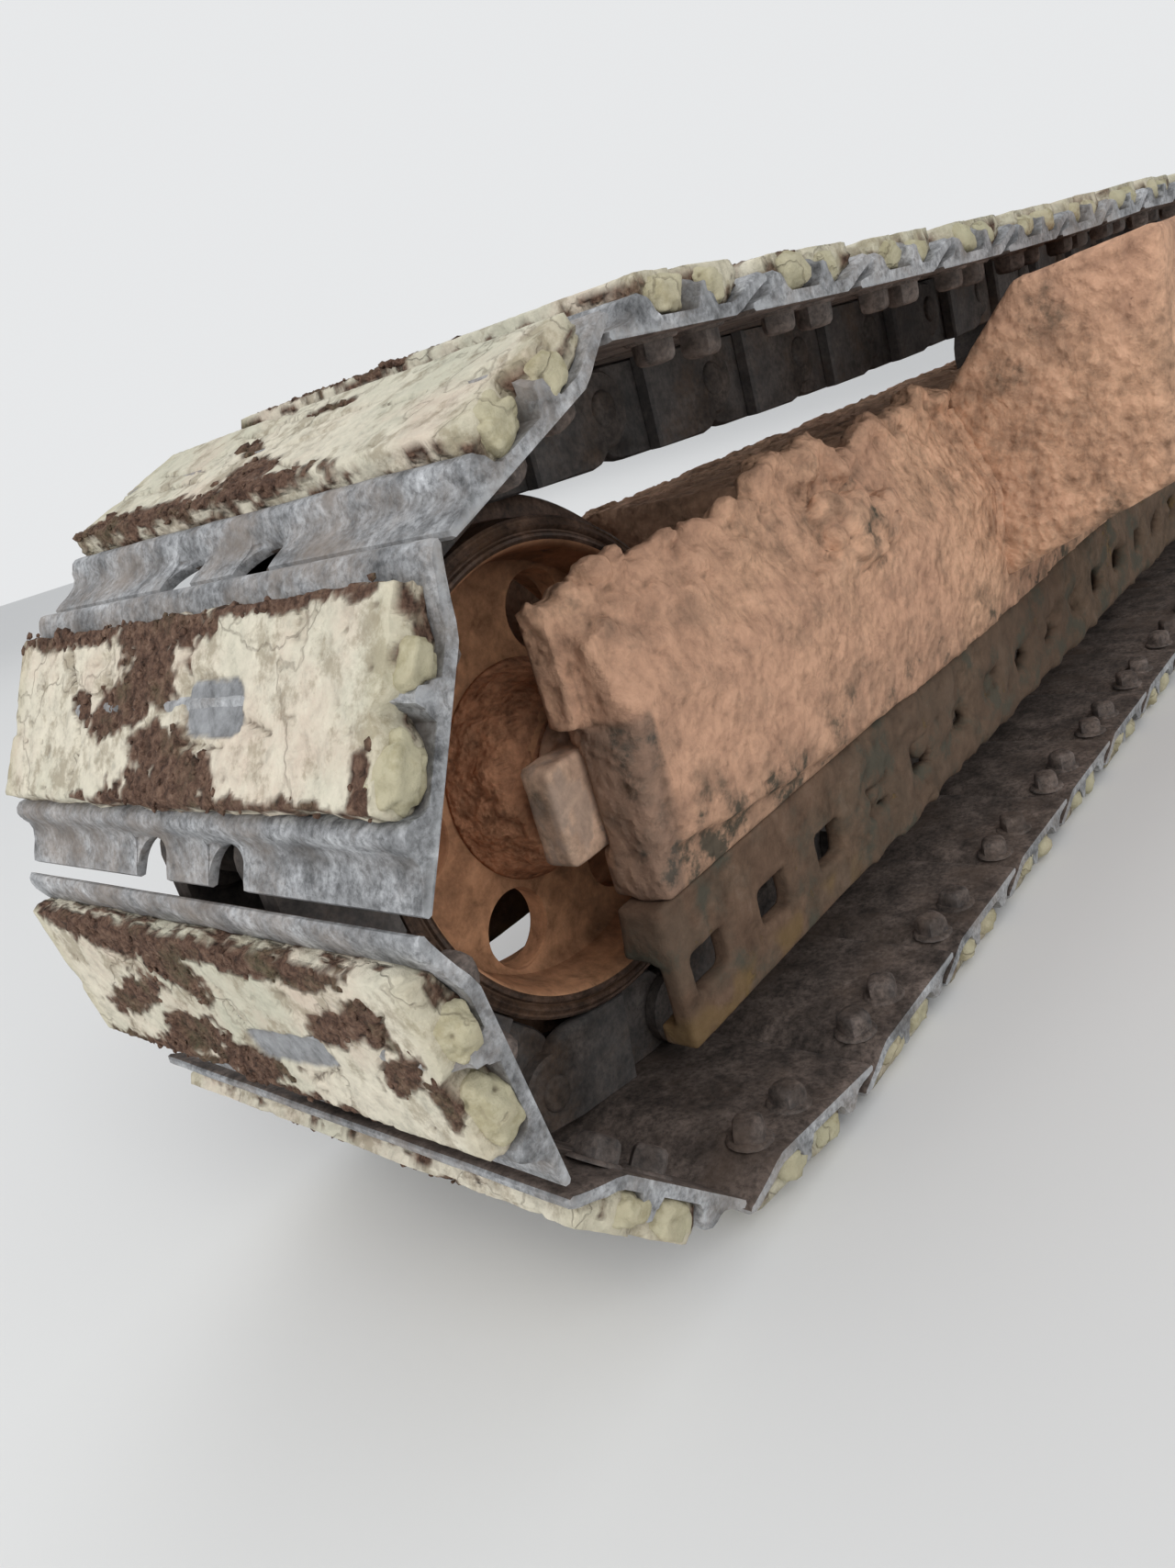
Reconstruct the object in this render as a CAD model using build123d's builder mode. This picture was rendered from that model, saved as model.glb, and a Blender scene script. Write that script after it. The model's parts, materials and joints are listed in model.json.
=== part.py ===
from build123d import *
import math
import os

os.makedirs("parts", exist_ok=True)

# Millimetres. X forward, Y inboard towards the machine, Z up. A place is first given from the
# idler's axle in the middle of the chain, and moved by idler_x, middle_y and axle_z at the end.

# Chain
pitch = 135.0
link_count = 39
pin_to_shoe = 28.0
pin_to_tread = 36.0
rail_inside = 26.0
rail_thickness = 24.0
rail_outside = rail_inside + rail_thickness
bush_radius = 15.0
upper_sag = 8.0
shoe_angle = 31.3

# Shoes, across the travel and along it, counted from the middle of a link
shoe_width = 380.0
plate_thickness = 8.0
lip_reach = 90.0
lip_drop = 2.0
bar_foot = 66.0
front_bar = 15.0
tail_start = 28.0
tail_reach = 64.0
tail_bar = 8.0
lip_gap = 0.5
outer_bar_height = 21.0
middle_bar_height = 32.0
bar_half = 8.0
bar_top_half = 4.0
notch_width = 33.0
pad_height = 33.0
pad_front = 46.0
pad_back = 48.0
pad_side_gap = 5.0
pad_seat = 0.3

# Idler
idler_tread_radius = 163.0
idler_flange_radius = 181.0
idler_flange_width = 44.0
idler_width = 104.0
idler_rim_depth = 16.0
idler_web_thickness = 16.0
idler_hub_radius = 55.0
idler_hub_width = 124.0
rim_fillet = 8.0
hub_flare = 18.0
collar_gap = 1.0
shaft_inset = 4.0
idler_hole_count = 6
idler_hole_radius = 27.0
idler_hole_circle = 108.0
idler_hole_angle = -62.0
idler_sides = 40
hole_sides = 16
running_gap = 0.5
shaft_radius = 22.0
shaft_gap = 0.2

# Idler slide
block_height = 64.0
block_front = 75.0
block_back = 62.0
block_width = 24.0
block_bevel = 4.0
block_play = 4.0
slide_gap = 1.5
slide_travel = 40.0
moving_gap = 6.0
collar_radius = 48.0
collar_sides = 24
yoke_thickness = 22.0
yoke_side = 14.0
rod_radius = 16.0
rod_sides = 12
rod_gap = 4.0
rod_overlap = 30.0
yoke_gap = 8.0
yoke_arm_height = 46.0

# Sprocket and drive
sprocket_teeth = 19
sprocket_width = 40.0
sprocket_tip = 6.0
tooth_lean = 8.0
seat_gap = 1.0
sprocket_clear = 40.0
meshed_bushes = 10
drive_radius = 118.0
drive_taper = 16.0
drive_sides = 24
drive_reach = 150.0
drive_hub_radius = 90.0
motor_radius = 78.0
motor_taper = 6.0
motor_reach = 74.0
plate_width = 20.0
plate_rim = 12.0
plate_side_gap = 10.0
plate_root_top = 109.0
plate_root_bottom = -46.0

# Frame
frame_wall = 10.0
arm_inside = 108.0
arm_outside = 152.0
arm_foot = 142.0
arm_shoulder = 46.0
ridge_outside = 120.0
frame_top = 121.0
skirt_bottom = -66.0
floor_height = -30.0
nose_front = 58.0
nose_step = 13.0
upper_bar_foot = 49.0
end_plate = 4.0
end_plate_top = 45.0
end_plate_corner = 12.0
fork_depth = 310.0
guard_thickness = 14.0
guard_outside = 140.0
guard_bottom = -165.0
guard_lip = 26.0
window_length = 37.0
window_height = 27.0
window_pitch = 80.0
window_first = 35.0
window_middle = -121.0
guide_height = 38.0
guide_length = 110.0
guide_taper = 10.0

# Rollers
roller_count = 5
roller_radius = 50.0
roller_flange_radius = 62.0
roller_flange_width = 10.0
roller_sides = 20
roller_end_gap = 40.0
roller_side_gap = 2.0
bracket_thickness = 24.0
bracket_length = 64.0
bracket_roof_gap = 8.0
bracket_drop = 22.0
carrier_radius = 40.0
carrier_cutout = 96.0
carrier_side_gap = 7.0
carrier_overhang = 4.0
post_thickness = 20.0
post_foot = 45.0
post_head = 22.0

# Legs to the machine's centre frame
leg_reach = 300.0
leg_length = 230.0
leg_low = -40.0
leg_rise = 70.0
leg_height = 190.0
leg_crest = 208.0
leg_overlap = 12.0
leg_front_share = 0.31
leg_rear_share = 0.70
leg_crest_reach = 190.0


def circle_point(cx, cz, radius, degrees):
    """Point on a circle in the plane of the chain."""
    turn = math.radians(degrees)
    return (cx + radius * math.cos(turn), cz + radius * math.sin(turn))


idler_pin_radius = math.hypot(idler_tread_radius + running_gap + pin_to_tread, pitch / 2)
idler_step = 2 * math.degrees(math.asin(pitch / 2 / idler_pin_radius))
links_below = math.ceil((shoe_angle + 90) / idler_step - 0.5)
last_pin_angle = shoe_angle - (links_below + 0.5) * idler_step
last_pin = circle_point(0, 0, idler_pin_radius, last_pin_angle)
lower_pins = last_pin[1]
sprocket_pin_radius = pitch / 2 / math.sin(2 * math.pi / sprocket_teeth)
sprocket_z = lower_pins + sprocket_pin_radius


def chain_path(centres):
    """Closed line that the pins lie on, from the idler's lower side back round the sprocket."""
    points = [last_pin]
    for turn in range(0, 361):
        points.append(circle_point(-centres, sprocket_z, sprocket_pin_radius, -90 - turn / 2))
    rise = sprocket_z + sprocket_pin_radius - idler_pin_radius
    steps = 120
    for step in range(1, steps):
        share = step / steps
        half = (2 * share) % 1
        dip = 4 * upper_sag * half * (1 - half)
        points.append((-centres * (1 - share), idler_pin_radius + rise * (1 - share) - dip))
    turns = int(2 * (90 - last_pin_angle))
    for turn in range(0, turns + 1):
        points.append(circle_point(0, 0, idler_pin_radius, 90 - turn / 2))
    points.append(last_pin)
    return points


def next_pin(pin, start, end):
    """Point on the line from start to end that is a pitch from the pin, on its far side."""
    dx, dz = end[0] - start[0], end[1] - start[1]
    ex, ez = start[0] - pin[0], start[1] - pin[1]
    square = dx * dx + dz * dz
    lean = dx * ex + dz * ez
    share = (math.sqrt(lean * lean - square * (ex * ex + ez * ez - pitch * pitch)) - lean) / square
    return (start[0] + share * dx, start[1] + share * dz)


def walk(points):
    """Pins a pitch apart along the path, and how much path is left over after the last link."""
    pins = [points[0]]
    place = 0
    while len(pins) < link_count:
        while place + 1 < len(points) and math.dist(pins[-1], points[place + 1]) < pitch:
            place += 1
        if place + 1 == len(points):
            return pins, -pitch
        pins.append(next_pin(pins[-1], points[place], points[place + 1]))
    return pins, math.dist(pins[-1], points[-1]) - pitch


def fit_chain():
    """Distance between idler and sprocket that closes the chain, and the pins at that distance."""
    short = pitch * (link_count / 2 - 6)
    long = pitch * link_count / 2
    for _ in range(50):
        centres = (short + long) / 2
        pins, left_over = walk(chain_path(centres))
        if left_over > 0:
            long = centres
        else:
            short = centres
    return centres, pins


centres, pins = fit_chain()

# Each link: x and z of its middle, and the angle of its outward side above forward
links = []
for number, (x0, z0) in enumerate(pins):
    x1, z1 = pins[(number + 1) % link_count]
    angle = math.degrees(math.atan2(z0 - z1, x0 - x1)) - 90
    links.append(((x0 + x1) / 2, (z0 + z1) / 2, angle))


def on_link(link, along, out):
    """Place of a point given along a link, towards its tail, and outward from its pins."""
    x, z, angle = link
    turn = math.radians(angle)
    return (x + out * math.cos(turn) - along * math.sin(turn), z + out * math.sin(turn) + along * math.cos(turn))


pad_corners = [(pad_front, pin_to_shoe + pad_height), (-pad_back, pin_to_shoe + pad_height)]
bar_corners = [(tail_reach - 4, pin_to_shoe + outer_bar_height), (-61, pin_to_shoe + outer_bar_height)]
reach = [on_link(link, *corner) for link in links for corner in pad_corners + bar_corners]
idler_x = -(min(x for x, z in reach) + max(x for x, z in reach)) / 2
axle_z = -min(z for x, z in reach)
middle_y = -(leg_reach - shoe_width / 2) / 2


def side(x, y, z):
    """Plane seen from the inboard side, with X to the right and Z up."""
    return Plane(origin=(idler_x + x, middle_y + y, axle_z + z), x_dir=(1, 0, 0), z_dir=(0, -1, 0))


def section(x):
    """Plane across the frame, with Y to the right and Z up."""
    return Plane(origin=(idler_x + x, middle_y, axle_z), x_dir=(0, 1, 0), z_dir=(1, 0, 0))


def save(name, builder):
    """Label a piece and write its STEP file."""
    builder.part.label = name
    export_step(builder.part, f"parts/{name}.step")


# A shoe is drawn with Z along the link towards its tail and X outward, and then set on each link
link_plane = Plane(origin=(0, 0, 0), x_dir=(0, 0, 1), z_dir=(0, 1, 0))
link_places = [Location((idler_x + x, middle_y, axle_z + z), (0, -angle, 0)) for x, z, angle in links]

face = pin_to_shoe
back = face + plate_thickness
outer = face + outer_bar_height
middle = face + middle_bar_height
lip_top = back - lip_drop

# The tail's straight underside is tangent to the circle that the next shoe's lip swings through
lip_swing = math.hypot(lip_reach - pitch / 2, lip_top) + lip_gap
tail_run = pitch / 2 - tail_start
tail_slope = math.asin(lip_swing / math.hypot(tail_run, face)) - math.atan2(face, tail_run)
tail_under = face + (tail_reach - tail_start) * math.tan(tail_slope)

# Columns: along the link towards the tail, outward from the pins
shoe_profile = [
    (-lip_reach, face),
    (tail_start, face),
    (tail_reach, tail_under),
    (tail_reach, outer),
    (tail_reach - tail_bar, outer),
    (tail_start - 2, back),
    (bar_half, back),
    (bar_top_half, middle),
    (-bar_top_half, middle),
    (-bar_half, back),
    (-bar_foot + front_bar, back),
    (-bar_foot + front_bar / 2, outer),
    (-bar_foot, back),
    (-lip_reach, lip_top),
]

notch_middle = rail_inside + rail_thickness / 2
with BuildPart() as shoe:
    with BuildSketch(link_plane):
        with BuildLine():
            Polyline(*shoe_profile, close=True)
        make_face()
    extrude(amount=shoe_width / 2, both=True)
    with Locations((face, notch_middle, -lip_reach), (face, -notch_middle, -lip_reach)):
        Box(4 * plate_thickness, notch_width, 2 * (lip_reach - bar_foot), mode=Mode.SUBTRACT)


def beside_pins(out):
    """Closed line at a height above the pins, with its corners at the pins."""
    corners = []
    for number, (x, z) in enumerate(pins):
        before = links[number - 1][2]
        turn = (links[number][2] - before + 180) % 360 - 180
        corners.append(circle_point(x, z, out / math.cos(math.radians(turn / 2)), before + turn / 2))
    return corners


# Both rails run right round below the shoes, and the bushes that the sprocket meets join them
with BuildPart() as rails:
    for hand in (1, -1):
        with BuildSketch(side(0, hand * notch_middle, 0)):
            for out, mode in ((face, Mode.ADD), (-pin_to_tread, Mode.SUBTRACT)):
                with BuildLine():
                    Polyline(*beside_pins(out), close=True)
                make_face(mode=mode)
        extrude(amount=rail_thickness / 2, both=True)

sprocket_pins = sorted(pins)[:meshed_bushes]
with BuildPart() as bushes:
    for x, z in sprocket_pins:
        with BuildSketch(side(x, 0, z)):
            RegularPolygon(bush_radius, 6)
        extrude(amount=rail_inside, both=True)

with BuildPart() as track_loop:
    add(rails.part)
    add(bushes.part)
    with Locations(*link_places):
        add(shoe.part)
save("track_loop", track_loop)

# Pads lie on both sides of the middle bar, which has worn almost level with them
pad_top = face + pad_height
tail_rise = (outer - back) / (tail_reach - tail_bar - tail_start + 2)
pad_behind = [
    (-pad_back, back),
    (-bar_half - pad_seat, back),
    (-bar_top_half - pad_seat, pad_top),
    (-pad_back, pad_top),
]
pad_ahead = [
    (bar_half + pad_seat, back),
    (tail_start - 2 - pad_seat, back),
    (pad_front, back + (pad_front - tail_start + 2 + pad_seat) * tail_rise),
    (pad_front, pad_top),
    (bar_top_half + pad_seat, pad_top),
]
with BuildPart() as pad:
    for outline in (pad_behind, pad_ahead):
        with BuildSketch(link_plane):
            with BuildLine():
                Polyline(*outline, close=True)
            make_face()
        extrude(amount=shoe_width / 2 - pad_side_gap, both=True)

with BuildPart() as track_pads:
    with Locations(*link_places):
        add(pad.part)
save("track_pads", track_pads)



def drum(x, z, steps, sides):
    """Faceted drum about a cross axle; each step gives Y from and to, and the radius at both."""
    with BuildPart() as body:
        for start, end, first, last in steps:
            hand = 1 if end > start else -1
            narrowing = (first - last) * math.cos(math.pi / sides)
            lean = math.degrees(math.atan(narrowing / abs(end - start)))
            centre = (idler_x + x, middle_y + start, axle_z + z)
            with BuildSketch(Plane(origin=centre, x_dir=(1, 0, 0), z_dir=(0, hand, 0))):
                RegularPolygon(first, sides)
            extrude(amount=abs(end - start), taper=lean)
    return body.part


# Idler: flange and tread drum, open on both sides down to the web, with a hub on the web
rim_inside = idler_tread_radius - idler_rim_depth
half_width = idler_width / 2
half_flange = idler_flange_width / 2
half_web = idler_web_thickness / 2
half_hub = idler_hub_width / 2
idler_drum = [
    (-half_width, half_width, idler_tread_radius, idler_tread_radius),
    (-half_flange, half_flange, idler_flange_radius, idler_flange_radius),
]
with BuildPart() as idler_wheel:
    add(drum(0, 0, idler_drum, idler_sides))
    for hand in (1, -1):
        pocket = [(hand * half_web, hand * half_width, rim_inside - rim_fillet, rim_inside + rim_fillet / 2)]
        hub = [(hand * half_web, hand * half_hub, idler_hub_radius + hub_flare, idler_hub_radius)]
        add(drum(0, 0, pocket, idler_sides), mode=Mode.SUBTRACT)
        add(drum(0, 0, hub, idler_sides))
    with BuildSketch(side(0, 0, 0)):
        with PolarLocations(idler_hole_circle, idler_hole_count, start_angle=idler_hole_angle):
            RegularPolygon(idler_hole_radius, hole_sides)
    extrude(amount=half_width, both=True, mode=Mode.SUBTRACT)
    with BuildSketch(side(0, 0, 0)):
        Circle(shaft_radius + shaft_gap)
    extrude(amount=half_hub, both=True, mode=Mode.SUBTRACT)
save("idler_wheel", idler_wheel)

# Slide: shaft, collars and blocks that carry the idler, and the yoke that pushes them
block_inside = arm_inside - block_play - block_width
shaft_reach = block_inside + block_width - shaft_inset
with BuildPart() as idler_shaft:
    with Locations((idler_x, middle_y, axle_z)):
        Cylinder(shaft_radius, 2 * shaft_reach, rotation=(90, 0, 0))
save("idler_shaft", idler_shaft)

with BuildPart() as idler_blocks:
    for hand in (1, -1):
        with BuildSketch(side(0, hand * (block_inside + block_width / 2), 0)) as block_side:
            with Locations(((block_front - block_back) / 2, 0)):
                Rectangle(block_front + block_back, block_height)
            chamfer(block_side.vertices(), block_bevel)
        extrude(amount=block_width / 2, both=True)
        with BuildSketch(side(0, hand * (half_hub + collar_gap + block_inside) / 2, 0)):
            RegularPolygon(collar_radius, collar_sides)
        extrude(amount=(block_inside - half_hub - collar_gap) / 2, both=True)
    with Locations((idler_x, middle_y, axle_z)):
        Cylinder(shaft_radius, 2 * shaft_reach, rotation=(90, 0, 0), mode=Mode.SUBTRACT)
save("idler_blocks", idler_blocks)

yoke_x = -idler_flange_radius - yoke_gap
with BuildPart() as idler_yoke:
    for hand in (1, -1):
        with Locations((idler_x + (yoke_x - block_back) / 2,
                        middle_y + hand * (block_inside + yoke_side / 2), axle_z)):
            Box(-block_back - yoke_x, yoke_side, yoke_arm_height)
    with Locations((idler_x + yoke_x - yoke_thickness / 2, middle_y, axle_z)):
        Box(yoke_thickness, 2 * (block_inside + yoke_side), block_height)
save("idler_yoke", idler_yoke)

rod_end = nose_front - fork_depth - rod_overlap
with BuildPart() as recoil_rod:
    with BuildSketch(section(yoke_x - yoke_thickness)):
        RegularPolygon(rod_radius, rod_sides)
    extrude(amount=-(yoke_x - yoke_thickness - rod_end))
save("recoil_rod", recoil_rod)

upper_links = [link for link in links if link[1] > 0]
carrier_link = min(upper_links, key=lambda link: abs(link[0] + centres / 2))
carrier_x, carrier_z = on_link(carrier_link, 0, -pin_to_tread - carrier_radius)

# Frame: closed beam, open fork for the idler, skirts over the rollers
fork_root = nose_front - fork_depth
slot_depth = nose_front + block_back + slide_travel + moving_gap
beam_end = -centres + sprocket_pin_radius + sprocket_clear
plate_front = nose_front - nose_step
arm_wall = arm_inside - frame_wall
beam_side = [(arm_foot, skirt_bottom), (arm_outside, arm_shoulder), (ridge_outside, frame_top)]
beam_outline = beam_side + [(-y, z) for y, z in reversed(beam_side)] + [
    (-arm_inside, skirt_bottom),
    (-arm_inside, floor_height),
    (arm_inside, floor_height),
    (arm_inside, skirt_bottom),
]
cavity_side = [
    (arm_foot - frame_wall, floor_height + frame_wall),
    (arm_outside - frame_wall, arm_shoulder - frame_wall / 2),
    (ridge_outside - frame_wall, frame_top - frame_wall),
]
cavity_outline = cavity_side + [(-y, z) for y, z in reversed(cavity_side)]
arm_side = [(arm_wall, skirt_bottom)] + beam_side + [(arm_wall, frame_top)]
upper_bar = [
    (arm_wall, upper_bar_foot),
    (ridge_outside, upper_bar_foot),
    (ridge_outside, frame_top),
    (arm_wall, frame_top),
]


def bar(x, outline, length, hand=1):
    """Straight bar along the frame from a section's outline, given as Y and Z."""
    with BuildPart() as body:
        with BuildSketch(section(x)):
            with BuildLine():
                Polyline(*[(hand * y, z) for y, z in outline], close=True)
            make_face()
        extrude(amount=length)
    return body.part


with BuildPart() as track_frame:
    add(bar(beam_end, beam_outline, fork_root - beam_end))
    add(bar(beam_end + frame_wall, cavity_outline, fork_root - beam_end - 2 * frame_wall), mode=Mode.SUBTRACT)
    for hand in (1, -1):
        add(bar(fork_root, arm_side, plate_front - fork_root, hand))
        add(bar(plate_front, upper_bar, nose_step, hand))
        plate_half = (arm_foot - arm_inside) / 2
        plate_middle = (skirt_bottom + end_plate_top) / 2
        with BuildSketch(section(plate_front)) as nose_plate:
            with Locations((hand * (arm_inside + plate_half), plate_middle)):
                Rectangle(2 * plate_half, end_plate_top - skirt_bottom)
            chamfer(nose_plate.vertices(), end_plate_corner)
        extrude(amount=end_plate)
        with Locations((idler_x + nose_front, middle_y + hand * arm_wall, axle_z)):
            Box(2 * slot_depth, 2 * frame_wall, block_height + 2 * slide_gap, mode=Mode.SUBTRACT)
    with Locations((idler_x + fork_root, middle_y, axle_z)):
        Cylinder(rod_radius + rod_gap, 3 * frame_wall, rotation=(0, 90, 0), mode=Mode.SUBTRACT)
    with Locations((idler_x + carrier_x, middle_y, axle_z + frame_top)):
        Box(carrier_cutout, 2 * (rail_outside + carrier_side_gap), 3 * frame_wall, mode=Mode.SUBTRACT)
save("track_frame", track_frame)

guard_front = nose_front - 3
guard_inside = guard_outside - guard_thickness
window_count = int((guard_front - window_first - beam_end) // window_pitch)
guard_outline = [
    (guard_outside, skirt_bottom),
    (guard_outside, guard_bottom),
    (guard_outside - guard_lip, guard_bottom),
    (guard_outside - guard_lip, guard_bottom + guard_thickness),
    (guard_inside, guard_bottom + guard_thickness),
    (guard_inside, skirt_bottom),
]
guide_outline = [
    (arm_inside, skirt_bottom),
    (arm_foot, skirt_bottom),
    (arm_foot - guide_taper, skirt_bottom - guide_height),
    (arm_inside - guide_taper / 2, skirt_bottom - guide_height),
]
for name, hand in (("inboard", 1), ("outboard", -1)):
    with BuildPart() as guard:
        add(bar(beam_end, guard_outline, guard_front - beam_end, hand))
        with BuildSketch(side(guard_front - window_first, hand * guard_outside, window_middle)):
            with Locations(*[(-step * window_pitch, 0) for step in range(window_count)]):
                Rectangle(window_length, window_height)
        extrude(amount=2 * guard_thickness, both=True, mode=Mode.SUBTRACT)
        add(bar(nose_front - guide_length, guide_outline, guide_length, hand))
    save(f"chain_guard_{name}", guard)

# Bottom rollers under the beam, carrier roller above it
tread_z = lower_pins + pin_to_tread
roller_z = tread_z + roller_radius
roller_front = yoke_x - yoke_thickness - slide_travel - moving_gap - bracket_length / 2
roller_back = beam_end + roller_end_gap
roller_span = (roller_front - roller_back) / (roller_count - 1)
roller_spots = [roller_front - step * roller_span for step in range(roller_count)]
flange_inside = rail_outside + roller_side_gap
flange_outside = flange_inside + roller_flange_width
roller_drum = [
    (-flange_outside, -flange_inside, roller_flange_radius, roller_flange_radius),
    (-flange_inside, flange_inside, roller_radius, roller_radius),
    (flange_inside, flange_outside, roller_flange_radius, roller_flange_radius),
]
carrier_half = rail_outside + carrier_overhang
carrier_drum = [(-carrier_half, carrier_half, carrier_radius, carrier_radius)]
with BuildPart() as rollers:
    for spot in roller_spots:
        add(drum(spot, roller_z, roller_drum, roller_sides))
    add(drum(carrier_x, carrier_z, carrier_drum, roller_sides))
save("rollers", rollers)

# Each bottom roller turns in a saddle under the beam, and the upper one on a post beside it
bracket_outside = flange_outside + bracket_thickness
bracket_roof = roller_z + roller_flange_radius + bracket_roof_gap
bracket_foot = roller_z - bracket_drop
saddle_outline = [
    (bracket_outside, floor_height),
    (-bracket_outside, floor_height),
    (-bracket_outside, bracket_foot),
    (-flange_outside, bracket_foot),
    (-flange_outside, bracket_roof),
    (flange_outside, bracket_roof),
    (flange_outside, bracket_foot),
    (bracket_outside, bracket_foot),
]
with BuildPart() as roller_brackets:
    for spot in roller_spots:
        add(bar(spot - bracket_length / 2, saddle_outline, bracket_length))
    post_top = carrier_z + post_head
    with BuildSketch(side(carrier_x, carrier_half + post_thickness, 0)):
        with BuildLine():
            Polyline(
                (-post_foot, frame_top),
                (post_foot, frame_top),
                (post_head, post_top),
                (-post_head, post_top),
                close=True,
            )
        make_face()
    extrude(amount=post_thickness)
save("roller_brackets", roller_brackets)

# Sprocket in mesh with the chain, drive drum and motor on the rear plate
mesh_pin = min(sprocket_pins, key=lambda pin: abs(pin[1] - sprocket_z))
seat_half = bush_radius + seat_gap
mesh_angle = math.degrees(math.atan2(mesh_pin[1] - sprocket_z, mesh_pin[0] + centres))


def tooth_point(number, out, across):
    """Point beside one of the seats, outward from the pins' circle and across the seat."""
    turn = math.radians(mesh_angle + number * 360 / sprocket_teeth)
    reach = sprocket_pin_radius + out
    return (reach * math.cos(turn) - across * math.sin(turn), reach * math.sin(turn) + across * math.cos(turn))


seat_side = seat_half * math.tan(math.pi / 8)
tip_across = seat_half + tooth_lean / 2
# Columns: outward from the pins' circle, across the seat
seat_points = [
    (sprocket_tip, -tip_across),
    (0, -seat_half),
    (-seat_side, -seat_half),
    (-seat_half, -seat_side),
    (-seat_half, seat_side),
    (-seat_side, seat_half),
    (0, seat_half),
    (sprocket_tip, tip_across),
]
tooth_line = [tooth_point(number, *point) for number in range(sprocket_teeth) for point in seat_points]
with BuildPart() as sprocket:
    with BuildSketch(side(-centres, sprocket_width / 2, sprocket_z)):
        with BuildLine():
            Polyline(*tooth_line, close=True)
        make_face()
        RegularPolygon(drive_hub_radius + seat_gap / 2, drive_sides, mode=Mode.SUBTRACT)
    extrude(amount=sprocket_width)
save("sprocket", sprocket)

drive_inside = rail_outside + plate_side_gap
drive_drum = [
    (-sprocket_width / 2, drive_inside, drive_hub_radius, drive_hub_radius),
    (-drive_reach, -sprocket_width / 2, drive_radius - drive_taper, drive_radius),
]
with BuildPart() as final_drive:
    add(drum(-centres, sprocket_z, drive_drum, drive_sides))
save("final_drive", final_drive)

with BuildPart() as drive_plate:
    with BuildSketch(side(0, drive_inside + plate_width, 0)):
        with BuildLine():
            Polyline(
                (beam_end, plate_root_top),
                (-centres, sprocket_z + drive_radius + plate_rim),
                (-centres, sprocket_z - drive_radius - plate_rim),
                (beam_end, plate_root_bottom),
                close=True,
            )
        make_face()
        with Locations((-centres, sprocket_z)):
            RegularPolygon(drive_radius + plate_rim, drive_sides)
            RegularPolygon(motor_radius + seat_gap / 2, drive_sides, mode=Mode.SUBTRACT)
    extrude(amount=plate_width)
save("drive_plate", drive_plate)

motor_end = drive_inside + plate_width + motor_reach
motor_drum = [(drive_inside, motor_end, motor_radius, motor_radius - motor_taper)]
with BuildPart() as travel_motor:
    add(drum(-centres, sprocket_z, motor_drum, drive_sides))
save("travel_motor", travel_motor)

# Legs: closed box beams that rise inboard from the beam to the weld faces
leg_outline = [
    (arm_outside - leg_overlap, leg_low),
    (leg_reach, leg_low + leg_rise),
    (leg_reach, leg_low + leg_rise + leg_height),
    (leg_crest_reach, leg_crest),
    (ridge_outside - leg_overlap, frame_top),
]
leg_spots = (("front", -centres * leg_front_share), ("rear", -centres * leg_rear_share))
for name, spot in leg_spots:
    with BuildPart() as leg:
        add(bar(spot - leg_length / 2, leg_outline, leg_length))
        add(bar(spot - leg_length / 2, beam_outline, leg_length), mode=Mode.SUBTRACT)
    save(f"leg_{name}", leg)

print("idler_x", round(idler_x, 3), "middle_y", round(middle_y, 3), "axle_z", round(axle_z, 3))
print("centres", round(centres, 3), "sprocket_z", round(sprocket_z, 3))
print("legs", [round(idler_x + spot, 3) for name, spot in leg_spots], "reach y", middle_y + leg_reach)
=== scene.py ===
import json
import math
import random

import bmesh
import bpy
from bpy.props import FloatProperty, FloatVectorProperty, IntProperty, PointerProperty
from mathutils import Matrix, Vector, noise


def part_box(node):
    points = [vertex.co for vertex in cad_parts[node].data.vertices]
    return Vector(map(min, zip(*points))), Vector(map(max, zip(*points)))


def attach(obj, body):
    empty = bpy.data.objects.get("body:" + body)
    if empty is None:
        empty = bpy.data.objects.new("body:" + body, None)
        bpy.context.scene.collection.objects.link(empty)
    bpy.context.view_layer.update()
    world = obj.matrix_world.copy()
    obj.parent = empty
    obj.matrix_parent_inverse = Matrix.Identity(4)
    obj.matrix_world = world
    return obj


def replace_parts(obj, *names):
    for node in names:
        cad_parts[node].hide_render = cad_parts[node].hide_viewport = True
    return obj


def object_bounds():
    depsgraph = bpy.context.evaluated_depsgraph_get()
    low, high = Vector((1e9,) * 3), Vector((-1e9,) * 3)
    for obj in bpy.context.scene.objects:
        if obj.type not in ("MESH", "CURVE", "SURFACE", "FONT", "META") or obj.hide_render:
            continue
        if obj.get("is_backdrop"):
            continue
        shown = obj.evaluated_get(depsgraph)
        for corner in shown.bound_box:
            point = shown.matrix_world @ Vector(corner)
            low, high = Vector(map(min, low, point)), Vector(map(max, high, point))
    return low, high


bl_info = {
    "name": "Crawler track unit",
    "version": (1, 0, 0),
    "blender": (4, 5, 0),
    "location": "View3D > Sidebar > Crawler track",
    "description": "Builds the worn, clay-coated crawler track unit of a mini excavator",
    "category": "Add Mesh",
}

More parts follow.
